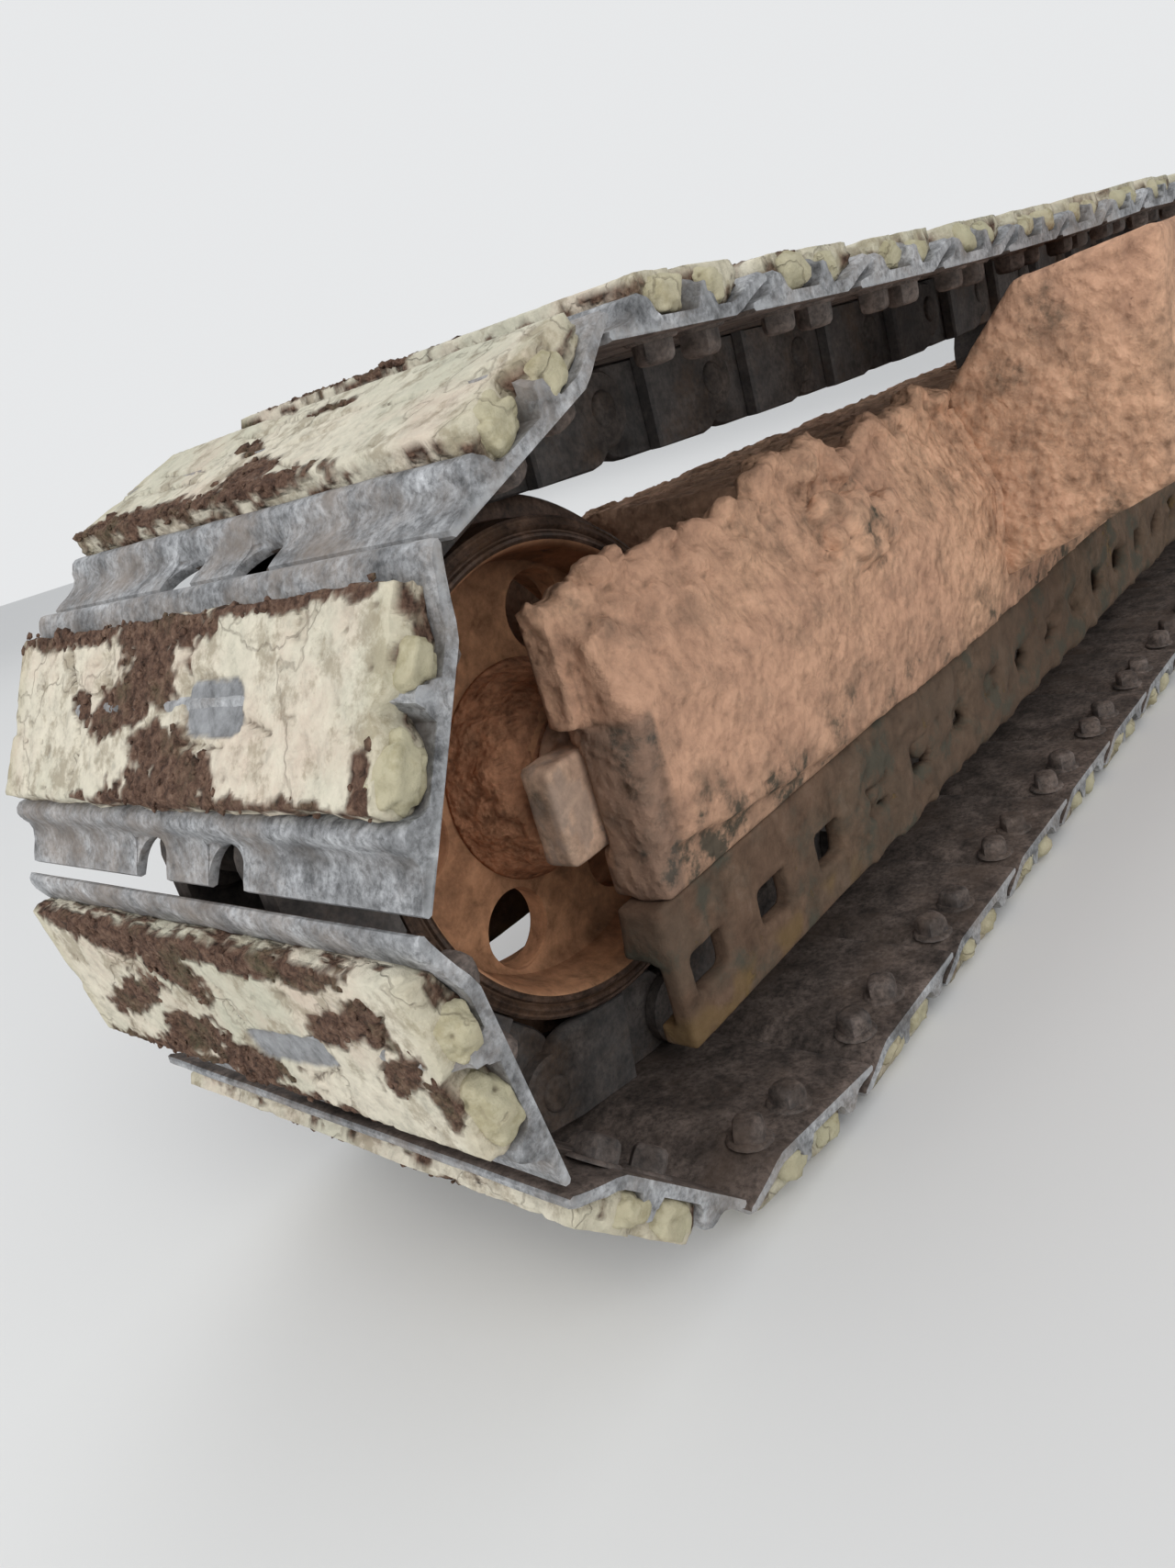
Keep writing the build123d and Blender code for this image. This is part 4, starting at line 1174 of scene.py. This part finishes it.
RIDGE_CLODS = (
    (34, 116, 121, 8, 6, 6), (8, 118, 127, 10, 7, 8), (-14, 115, 127, 11, 8, 8), (-40, 112, 122, 12, 8, 5),
    (-64, 116, 124, 14, 9, 8), (-100, 112, 122, 14, 9, 5), (-138, 115, 124, 13, 10, 8), (-158, 118, 119, 12, 8, 8),
    (-186, 114, 130, 17, 12, 15), (-206, 112, 134, 20, 13, 17), (-230, 116, 128, 22, 15, 18),
    (-256, 112, 130, 20, 15, 18), (-282, 118, 119, 18, 13, 13), (-310, 112, 120, 20, 12, 8),
    (-345, 110, 126, 17, 12, 12), (-368, 112, 131, 17, 12, 12), (-395, 108, 127, 22, 13, 11),
    (-430, 108, 128, 20, 14, 13), (-454, 110, 133, 20, 14, 16), (-486, 112, 129, 22, 14, 13),
    (-520, 110, 125, 20, 14, 10), (-552, 114, 121, 20, 12, 8),
)
FACE_CLODS = (
    (-230, 138, 94, 19, 13, 15), (-254, 141, 86, 23, 17, 18), (-275, 145, 75, 20, 15, 16), (-292, 148, 66, 15, 11, 11),
    (-242, 150, 66, 16, 12, 11), (-304, 143, 82, 16, 11, 11), (-262, 153, 60, 11, 9, 9), (-222, 145, 78, 10, 9, 9),
    (-322, 143, 66, 16, 6, 6), (-196, 147, 58, 17, 6, 7),
    (-216, 147, 60, 16, 7, 8), (-180, 147, 60, 10, 5, 5), (-228, 149, 56, 13, 5, 5), (30, 132, 92, 14, 4, 9),
    (2, 128, 100, 16, 4, 8), (-30, 130, 96, 18, 4, 9), (-58, 133, 88, 16, 4, 8), (-84, 127, 104, 18, 4, 8),
    (16, 137, 80, 13, 4, 6), (-12, 138, 78, 14, 4, 6), (-120, 130, 98, 16, 4, 8),
)
SMALL_CLODS = tuple(
    (58 - 11.3 * number + 9 * math.sin(number * 5.3), 112 + 9 * math.sin(number * 2.4),
     119 + 3 * math.cos(number * 3.1),
     2.2 + 7 * abs(math.sin(number * 1.7)) ** 4, 4, 2 + 4.5 * abs(math.cos(number * 2.3)) ** 3)
    for number in range(52)
)
# The fork: middle of an arm across, its root along and half the opening there
ARM_MIDDLE = 109
FORK_ROOT = -235
FORK_HALF = 112
# Middle height of the panel on an arm's end, hole in the plate below it (across, up), great lump round which a shadow
# is painted (along, up)
PANEL_HEIGHT = 84
PLATE_HOLE = (135, 9)
GREAT_LUMP = (-262, 78)


def frame_coat(point, normal):
    """Clay on the side frame: thick on its sloping sides, thin inside the fork, scraped on its nose; its dark mark
    holds stains, a painted shadow round the great lump and painted shade in crevices near the ridge.
    """
    x, y, z = point
    out = abs(y)
    if out < ARM_MIDDLE and x > -250 and (abs(normal.y) > 0.6 or abs(z) < 45) and z < 117:
        return 0.0, 0.5, 0.2
    coat = crumble(point, 2.0)
    near_ridge = smoothstep(62, 112, z)
    coat += near_ridge * (1.6 * smoothstep(0.0, 0.12, layered(point, 24, 6.5, 3)) + 1.2 * layered(point, 7, 1.5, 2))
    ledge = -30 - 28 * (1 - math.exp(min(0.0, x - 46) / 120)) + 0.03 * min(0.0, x)
    ledge += 2.5 * layered((x, 0, 0), 40, 1.0, 3)
    side = smoothstep(120, 140, out) * smoothstep(ledge - 3, ledge + 3, z)
    coat += side * (1.0 + 5.5 * smoothstep(50, -20, z))
    below = smoothstep(ledge + 4, ledge - 3, z) * smoothstep(112, 130, out)
    reach = 44 + 22 * layered(point, 50, 5, 2) + 18 * layered((x, 0, 0), 14, 3, 3) + 26 * smoothstep(-90, -230, x)
    stain_and_shade = smoothstep(ledge + reach, ledge + 6, z) * smoothstep(115, 135, out)
    stain_and_shade *= 0.45 + 0.75 * smoothstep(-0.12, 0.2, layered((x, y, z * 0.4), 17, 12, 4))
    nose = smoothstep(27, 31, x + 3 * layered((0, y, z), 15, 4, 3))
    on_plate = nose * smoothstep(53, 44, z)
    hole = math.hypot(y - PLATE_HOLE[0], z - PLATE_HOLE[1])
    coat = coat * (1 - 0.75 * max(below, on_plate)) + on_plate * 0.5 * layered(point, 12, 8, 3)
    coat -= 4.5 * on_plate * smoothstep(6.5, 3.0, hole)
    if normal.x > 0.5 and z > 50:
        off = abs(z - PANEL_HEIGHT)
        panel = smoothstep(5, 8, off) * smoothstep(30, 26, off) * smoothstep(9, 6, abs(out - ARM_MIDDLE))
        coat += 1.0 - 2.4 * panel
    if z < -60 and normal.z < -0.5:
        coat = min(coat, 0.0)
    if x < 0 and normal.x > 0.3:
        coat = -3.5 if x < FORK_ROOT and out < FORK_HALF else min(coat, 1.0)
    plate_dirt = on_plate * (0.62 + 0.5 * smoothstep(-0.1, 0.25, layered(point, 16, 3, 2)))
    # Painted shadow round the great lump, put into the dark mark.
    lump = math.hypot((x - GREAT_LUMP[0]) / 52, (z - GREAT_LUMP[1]) / 32)
    shadow = 0.75 * smoothstep(1.5, 1.0, lump) * smoothstep(0.06, -0.10, layered(point, 12, 2.5, 3)) * (out > 120)
    # Painted shade in the low spots between the crumbs near the ridge.
    crevice_shade = 0.24 * near_ridge * smoothstep(0.12, -0.10, layered(point, 7, 1.5, 2))
    crevice_shade *= smoothstep(0.0, 0.2, layered(point, 60, 2, 2))
    return min(max(coat, -2.5), 9.0), max(0.9 * stain_and_shade, plate_dirt, 0.9 * below, crevice_shade, shadow), 0.5 * on_plate


BEAM_REAR = (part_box("track_frame")[0][0] - axle.x) * 1000
BEAM_FRONT = -257
BEAM_LOW, BEAM_WIDE, BEAM_HIGH = -25, 43, 116


def in_beam(point):
    """Whether a point of the skin lies inside the closed beam, where nothing is seen."""
    x, y, z = point
    if z < BEAM_WIDE:
        limit = 137 + 10 * (z - BEAM_LOW) / 68
    else:
        limit = 147 - 32 * (z - BEAM_WIDE) / 73
    return BEAM_REAR + 5 < x < BEAM_FRONT and BEAM_LOW < z < BEAM_HIGH and abs(y) < limit


def build_frame_skin():
    """Clay on the side frame, finer in front."""
    pieces = [
        clay_skin("frame_clay_front", "track_frame", 3.45, frame_coat, "frame clay", low_x=-606,
                  clods=RIDGE_CLODS + FACE_CLODS + SMALL_CLODS, rounding=3, inside=in_beam),
        clay_skin("frame_clay_rear", "track_frame", 8.5, frame_coat, "frame clay", high_x=-600, inside=in_beam),
    ]
    for piece in pieces:
        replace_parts(piece, "track_frame")


# Guards, blocks and legs

def guard_coat(point, normal):
    """Scrapes and mud on the chain guards; the lower lip is worn bare."""
    x, _, z = point
    coat = 0.35 * layered(point, 30, 6, 3) + 0.3 * layered(point, 7, 2, 2)
    muddy = smoothstep(-130, -190, x)
    coat += muddy * (0.6 + 3.4 * smoothstep(-0.10, 0.25, layered(point, 34, 9, 3)))
    if z > -110 and x > 0:
        coat += 0.9 * layered(point, 14, 4, 3)
    worn = smoothstep(-138, -150, z) * smoothstep(-0.1, 0.2, layered(point, 35, 3, 2))
    stain_and_shade = smoothstep(-0.05, 0.2, layered(point, 40, 12, 3)) * 0.8 + 0.75 * muddy
    return coat, min(stain_and_shade, 1.0), 0.8 * worn * (1 - muddy)


def plain_coat(point, normal):
    """Thin dust with small dents, for blocks, plates and legs."""
    dents = 0.9 * layered(point, 18, 5, 4) + 0.35 * layered(point, 5, 1, 2)
    scrape = smoothstep(0.02, 0.14, layered((point[0], point[1], point[2] * 0.5), 12, 9, 3))
    return dents, 0.4 * smoothstep(-0.02, 0.25, layered(point, 30, 2, 3)), 0.5 * scrape


def leg_coat(point, normal):
    """Clay on the legs, thicker on their upper faces."""
    coat = 0.55 * crumble(point, 7.0) + 1.5 * max(0.0, normal.z)
    return coat, 0.4 * smoothstep(0.0, 0.3, layered(point, 60, 2, 2)), 0.0


def build_guard_skins():
    """Skins of the chain guards, with mud below the inboard one's ledge."""
    mud = tuple((-220 - 80 * n, 130 + 3 * math.sin(n * 1.9), -116 - 7 * math.cos(n * 2.2), 16, 7, 10 + 3 * math.sin(n))
                for n in range(7))
    pieces = [
        clay_skin("guard_inboard_front", "chain_guard_inboard", 2.6, guard_coat, "guard paint", low_x=-316,
                  clods=mud[:1], rounding=3),
        clay_skin("guard_inboard_rear", "chain_guard_inboard", 5.4, guard_coat, "guard paint", high_x=-314,
                  clods=mud),
    ]
    for piece in pieces:
        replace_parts(piece, "chain_guard_inboard")
    outboard = clay_skin("guard_outboard", "chain_guard_outboard", 6.6, guard_coat, "guard paint")
    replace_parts(outboard, "chain_guard_outboard")


def build_block_skins():
    """Skins of the idler's blocks and yoke, which slide with it."""
    for name, node, voxel in (("blocks_dusty", "idler_blocks", 2.5), ("yoke_dusty", "idler_yoke", 4.0)):
        piece = clay_skin(name, node, voxel, plain_coat, "block steel", body="idler_slide", rounding=3)
        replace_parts(piece, node)


def build_leg_skins():
    """Skins of the legs and of the plate that carries the drive."""
    for name, node, coat in (("leg_front_clay", "leg_front", leg_coat), ("leg_rear_clay", "leg_rear", leg_coat),
                             ("drive_plate_clay", "drive_plate", plain_coat)):
        piece = clay_skin(name, node, 6.0, coat, "frame clay")
        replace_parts(piece, node)


# Small hardware: bolts, plugs, covers, pin collars and weld beads

# Middles of the legs behind the idler's axle, and from there to the weld beads beside them
LEG_MIDDLES = (616, 1390.5)
BEAD_OFF = 115
# Cover of the grease valve, along and up
COVER_MIDDLE = (-430, -2)
COVER_HALF = (62, 34)
# Outside of a roller's bracket across, and its axle above its lowest point
COLLAR_FACE = 86
ROLLER_RADIUS = 62
# Rings of bolts about the drive: radius, count, face across, way, size, height, first angle
COVER_BOLTS = (80, 12, -154, -1, 8.5, 7, 15)
SPROCKET_BOLTS = (141, 15, -20, -1, 8.5, 8, 0)
PLATE_BOLTS = (104, 12, 80, 1, 8, 7, 15)
MOTOR_BOLTS = (54, 8, 159, 1, 6, 5, 10)


def add_bolt(bm, x, z, face, hand, size, height, turned=0.0, washer=1.5):
    """Hexagonal bolt head with a washer on a face across the unit; hand says which way it points."""
    place = axle_matrix() @ Matrix.Translation((x, face, z))
    add_turned(bm, [(-1, 0), (-1, size * 1.35), (hand * washer * 0.7, size * 1.35), (hand * washer, size * 1.25),
                    (hand * washer, 0)], place, steps=20)
    add_loft(bm, [hexagon(place, size * share, hand * (washer + level * height), turned) for share, level in
                  ((1.0, 0.0), (1.0, 0.80), (0.93, 0.95), (0.80, 1.0), (0.55, 1.0), (0.5, 0.93))])


def add_bolt_ring(bm, centre, ring):
    """Bolts at even angles about a centre, each turned a little differently."""
    radius, count, face, hand, size, height, first = ring
    for number in range(count):
        turn = math.radians(first + 360 * number / count)
        add_bolt(bm, centre[0] + radius * math.cos(turn), centre[1] + radius * math.sin(turn), face, hand, size,
                 height, turned=turn + 0.3 * number)


def build_drive_details(sprocket):
    """Cover, bolts and plugs of the final drive, bolts of the sprocket, ports and bolts of the travel motor."""
    bm = bmesh.new()
    place = axle_matrix() @ Matrix.Translation((sprocket[0], 0, sprocket[1]))
    add_turned(bm, [(-148, 0), (-148, 95), (-152, 96.5), (-154, 95), (-155, 60), (-158.5, 55), (-159, 30), (-161, 27),
                    (-161, 0)], place, steps=64)
    add_bolt_ring(bm, sprocket, COVER_BOLTS)
    for turn in (60, 180, 300):
        add_bolt(bm, sprocket[0] + 42 * math.cos(math.radians(turn)), sprocket[1] + 42 * math.sin(math.radians(turn)),
                 -158, -1, 11, 6, turned=turn, washer=2.5)
    add_turned(bm, [(-34, 112), (-34, 124), (-30, 126), (-20, 126), (-20, 112)], place, steps=64)
    add_bolt_ring(bm, sprocket, SPROCKET_BOLTS)
    add_bolt_ring(bm, sprocket, PLATE_BOLTS)
    add_turned(bm, [(80, 60), (80, 92), (84, 93), (90, 90), (91, 78), (91, 60)], place)
    add_turned(bm, [(150, 0), (150, 66), (156, 66.5), (159, 64), (160, 40), (163, 36), (163, 0)], place)
    add_bolt_ring(bm, sprocket, MOTOR_BOLTS)
    for across in (98, 126):
        for lean in (-24, 24):
            port = place @ Matrix.Translation((lean, across, 66)) @ TURNED_UP
            add_turned(bm, [(-4, 0), (-4, 15), (8, 15), (9.5, 13.5), (9.5, 10), (20, 9), (21, 7.5), (21, 0)], port,
                       steps=20)
            add_loft(bm, [hexagon(port, 12.5, out) for out in (9.5, 17)])
    close_up(bm, MERGE)
    piece = make_object("drive_details", bm, "frame", [finish("drive dust")], smooth=35)


def build_roller_details():
    """Pin collars with a locking bolt on the outside of each roller's bracket."""
    bm = bmesh.new()
    for x, z in roller_spots():
        for hand in (1, -1):
            place = axle_matrix() @ Matrix.Translation((x, 0, z))
            side = hand * COLLAR_FACE
            add_turned(bm, [(side - hand * 2, 0), (side - hand * 2, 24), (side + hand * 4, 24), (side + hand * 6, 22),
                            (side + hand * 6, 13), (side + hand * 3, 11), (side + hand * 3, 0)], place, steps=28)
            add_bolt(bm, x, z, side + hand * 3, hand, 7, 5, turned=0.01 * x)
            for along in (-24, 24):
                add_bolt(bm, x + along, z + 44, side, hand, 8, 7, turned=0.02 * x + along)
    close_up(bm, MERGE)
    piece = make_object("roller_collars", bm, "frame", [finish("drive dust")], smooth=35)


def roller_spots():
    """Middles of the bottom rollers, found from the places of the solid's own flanges."""
    points = [to_axle(vert.co) for vert in frame["nodes"]["rollers"].data.vertices]
    flanges = [(x, z) for x, y, z in points if abs(y) > 60]
    bottom = min(z for _, z in flanges)
    groups = []
    for x in sorted({round(x, 0) for x, z in flanges if z < bottom + 0.6}):
        if groups and x - groups[-1][-1] < 70:
            groups[-1].append(x)
        else:
            groups.append([x])
    return [((group[0] + group[-1]) / 2, bottom + ROLLER_RADIUS) for group in groups]


def rounded_oblong(turn, half):
    """Place on the outline of an oblong with rounded corners."""
    return half * math.copysign(abs(turn) ** 0.35, turn)


def build_frame_details():
    """Cover of the grease valve on the outboard side, and weld beads where the legs meet the beam."""
    bm = bmesh.new()
    rings = []
    for share, out in ((1.0, 0.0), (1.0, 5.0), (0.96, 7.0), (0.5, 7.6), (0.05, 7.6)):
        ring = []
        for step in range(48):
            turn = 2 * math.pi * step / 48
            x = COVER_MIDDLE[0] + rounded_oblong(math.cos(turn), COVER_HALF[0] * share)
            z = COVER_MIDDLE[1] + rounded_oblong(math.sin(turn), COVER_HALF[1] * share)
            ring.append(axle_matrix() @ Vector((x, -(152.5 + (z + 30) * 0.09 + out), z)))
        rings.append(ring)
    add_loft(bm, rings)
    for x in (-480, -380):
        add_bolt(bm, x, -2, -161.5, -1, 8, 6, turned=0.02 * x)
    eighths = [math.radians(45 * number) for number in range(8)]
    for centre in LEG_MIDDLES:
        for x in (-centre - BEAD_OFF, -centre + BEAD_OFF):
            line = [(x, 147 + 0.09 * (z + 40) * 0.98, z) for z in range(-38, 46, 5)]
            line += [(x, 154 - 0.4267 * (z - 46), z) for z in range(46, 124, 5)]
            rings = []
            for number, point in enumerate(line):
                ripple = 4.6 + 0.9 * math.sin(number * 2.2) + 0.6 * rough(point, 9, 3)
                rings.append([axle_matrix() @ (Vector(point) + ripple * Vector((math.cos(turn), math.sin(turn), 0)))
                              for turn in eighths])
            add_loft(bm, rings)
    close_up(bm, MERGE)
    piece = make_object("frame_details", bm, "frame", [finish("frame clay")], smooth=40)


# Operators, one for each piece or group of like pieces

FLOOR_STEPS = (-14, -7, 0, 7, 14)
CAMERA_FROM_AXLE = Vector((0.487291, 0.540096, 0.222130))
CAMERA_RIGHT = Vector((-0.608392, 0.746863, -0.268429))
CAMERA_DOWN = Vector((0.419344, 0.015362, -0.907697))
CAMERA_AHEAD = Vector((-0.673802, -0.6648, -0.322538))


class TRACK_OT_stage(bpy.types.Operator):
    """Pale floor, soft lamps and the camera"""
    bl_idname = "track.add_stage"
    bl_label = "Add stage"

    def execute(self, context):
        view = context.scene.studio_view
        bm = bmesh.new()
        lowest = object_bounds()[0][2]
        rows = [[bm.verts.new((x, y, lowest)) for y in FLOOR_STEPS] for x in FLOOR_STEPS]
        for first, second in zip(rows, rows[1:]):
            for i in range(len(first) - 1):
                bm.faces.new((first[i], second[i], second[i + 1], first[i + 1]))
        mesh = bpy.data.meshes.new("floor")
        bm.to_mesh(mesh)
        bm.free()
        floor = bpy.data.objects.new("floor", mesh)
        context.scene.collection.objects.link(floor)
        material, tree, shader = new_material("Pale floor", specular=0.2)
        shader.inputs["Roughness"].default_value = 0.85
        shader.inputs["Base Color"].default_value = (*context.scene.track_finish.floor, 1)
        mesh.materials.append(material)
        floor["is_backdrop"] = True

        world = bpy.data.worlds.new("Even room light")
        context.scene.world = world
        world.use_nodes = True
        tree = world.node_tree
        tree.nodes.clear()
        room, seen = (add_node(tree, "ShaderNodeBackground", place, {"Color": colour, "Strength": strength})
                      for place, colour, strength in (((0, 0), (0.95, 0.97, 1.0), view.world_strength),
                                                      ((0, -200), (0.80, 0.81, 0.82), 1.0)))
        path = add_node(tree, "ShaderNodeLightPath", (-300, 200)).outputs
        either = math_node(tree, (-100, 200), "MAXIMUM", path["Is Camera Ray"], path["Is Transmission Ray"])
        mix = add_node(tree, "ShaderNodeMixShader", (250, 0),
                       {0: either, 1: room.outputs["Background"], 2: seen.outputs["Background"]})
        add_node(tree, "ShaderNodeOutputWorld", (450, 0), {"Surface": mix.outputs["Shader"]})

        for name, place, target, power, width in (
            ("main_lamp", (2.6, 3.4, 3.6), (0.8, 0.0, 0.2), view.lamp_power, 2.6),
            ("front_lamp", (4.6, 0.2, 1.7), (0.9, 0.0, 0.25), view.lamp_power * 0.75, 2.2),
            ("back_lamp", (-2.4, -3.2, 3.2), (0.0, 0.0, 0.2), view.lamp_power * 0.5, 3.0),
        ):
            light = bpy.data.lights.new(name, "AREA")
            light.energy = power
            light.size = width
            lamp = bpy.data.objects.new(name, light)
            lamp.location = place
            lamp.rotation_euler = (Vector(target) - Vector(place)).to_track_quat("-Z", "Y").to_euler()
            context.scene.collection.objects.link(lamp)

        camera = bpy.data.objects.new("camera", bpy.data.cameras.new("camera"))
        camera.data.lens = view.lens
        camera.data.sensor_width = 36
        camera.data.clip_start = 0.01
        turned = Matrix((CAMERA_RIGHT, -CAMERA_DOWN, -CAMERA_AHEAD)).transposed().to_4x4()
        camera.matrix_world = Matrix.Translation(axle + CAMERA_FROM_AXLE) @ turned
        context.scene.collection.objects.link(camera)
        context.scene.camera = camera
        context.scene.view_settings.view_transform = "Standard"
        return {"FINISHED"}


class TRACK_OT_shoes(bpy.types.Operator):
    """Steel shoes, chain links, bushes and nuts of the track"""
    bl_idname = "track.add_shoes"
    bl_label = "Add shoes and links"

    def execute(self, context):
        links, _ = chain_links()
        near, far = front_link_numbers(links)
        for piece in (build_shoes("shoes_front", near, links, coarse=False),
                      build_shoes("shoes_rest", far, links, coarse=True),
                      build_links(links), build_shoe_nuts(links)):
            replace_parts(piece, "track_loop")
        return {"FINISHED"}


class TRACK_OT_pads(bpy.types.Operator):
    """Worn, cracked pads on the shoes"""
    bl_idname = "track.add_pads"
    bl_label = "Add pads"

    def execute(self, context):
        links, _ = chain_links()
        near, far = front_link_numbers(links)
        close = [number for number in near if number in PAD_MARKS]
        beside = [number for number in near if number not in close]
        for piece in (build_pads("pads_front", close, links, 1.9, 1.9, 4, 220),
                      build_pads("pads_beside", beside, links, 3.4, 3.6, 3, 60),
                      build_pads("pads_rest", far, links, 7.2, 8.0, 2, 0)):
            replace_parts(piece, "track_pads")
        return {"FINISHED"}


class TRACK_OT_idler(bpy.types.Operator):
    """Idler casting with its grooved rim and holes, and the clay round its hub"""
    bl_idname = "track.add_idler"
    bl_label = "Add idler"

    def execute(self, context):
        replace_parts(build_idler(), "idler_wheel")
        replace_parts(build_hub_clay(), "idler_wheel")
        return {"FINISHED"}


class TRACK_OT_frame(bpy.types.Operator):
    """Clay-coated side frame, guards, legs and rear plate"""
    bl_idname = "track.add_frame"
    bl_label = "Add frame, guards and legs"

    def execute(self, context):
        build_frame_skin()
        build_guard_skins()
        build_leg_skins()
        return {"FINISHED"}


class TRACK_OT_blocks(bpy.types.Operator):
    """Scraped blocks and yoke that carry the idler"""
    bl_idname = "track.add_blocks"
    bl_label = "Add idler blocks and yoke"

    def execute(self, context):
        build_block_skins()
        return {"FINISHED"}


class TRACK_OT_details(bpy.types.Operator):
    """Bolts, plugs, covers, pin collars and weld beads"""
    bl_idname = "track.add_details"
    bl_label = "Add small hardware"

    def execute(self, context):
        build_drive_details(chain_links()[1])
        build_roller_details()
        build_frame_details()
        return {"FINISHED"}


class TRACK_OT_solids(bpy.types.Operator):
    """Finishes for the solids that are kept as they are"""
    bl_idname = "track.finish_solids"
    bl_label = "Finish kept solids"

    finish_of = {
        "idler_shaft": "rod", "recoil_rod": "rod", "rollers": "dark link", "roller_brackets": "drive dust",
        "sprocket": "dark link", "final_drive": "drive dust", "travel_motor": "drive dust",
    }

    def execute(self, context):
        for name, wanted in self.finish_of.items():
            node = frame["nodes"][name]
            node.data.materials.clear()
            node.data.materials.append(finish(wanted))
        return {"FINISHED"}


class TRACK_PT_panel(bpy.types.Panel):
    """Buttons and settings of the track unit"""
    bl_idname = "TRACK_PT_panel"
    bl_label = "Crawler track unit"
    bl_space_type = "VIEW_3D"
    bl_region_type = "UI"
    bl_category = "Crawler track"

    def draw(self, context):
        for operator in OPERATORS:
            self.layout.operator(operator.bl_idname)
        for name, group in GROUPS:
            for setting in group.__annotations__:
                self.layout.prop(getattr(context.scene, name), setting)


OPERATORS = (TRACK_OT_stage, TRACK_OT_solids, TRACK_OT_shoes, TRACK_OT_pads, TRACK_OT_idler, TRACK_OT_blocks,
             TRACK_OT_frame, TRACK_OT_details)
GROUPS = (("track_sizes", TrackSizes), ("track_finish", TrackFinish), ("studio_view", StudioView))


def register():
    for name, group in GROUPS:
        bpy.utils.register_class(group)
        setattr(bpy.types.Scene, name, PointerProperty(type=group))
    for operator in OPERATORS:
        bpy.utils.register_class(operator)
    bpy.utils.register_class(TRACK_PT_panel)


def unregister():
    bpy.utils.unregister_class(TRACK_PT_panel)
    for operator in reversed(OPERATORS):
        bpy.utils.unregister_class(operator)
    for name, group in reversed(GROUPS):
        delattr(bpy.types.Scene, name)
        bpy.utils.unregister_class(group)


def main():
    register()
    for operator in OPERATORS:
        group, name = operator.bl_idname.split(".")
        getattr(getattr(bpy.ops, group), name)()


if __name__ == "__main__":
    main()
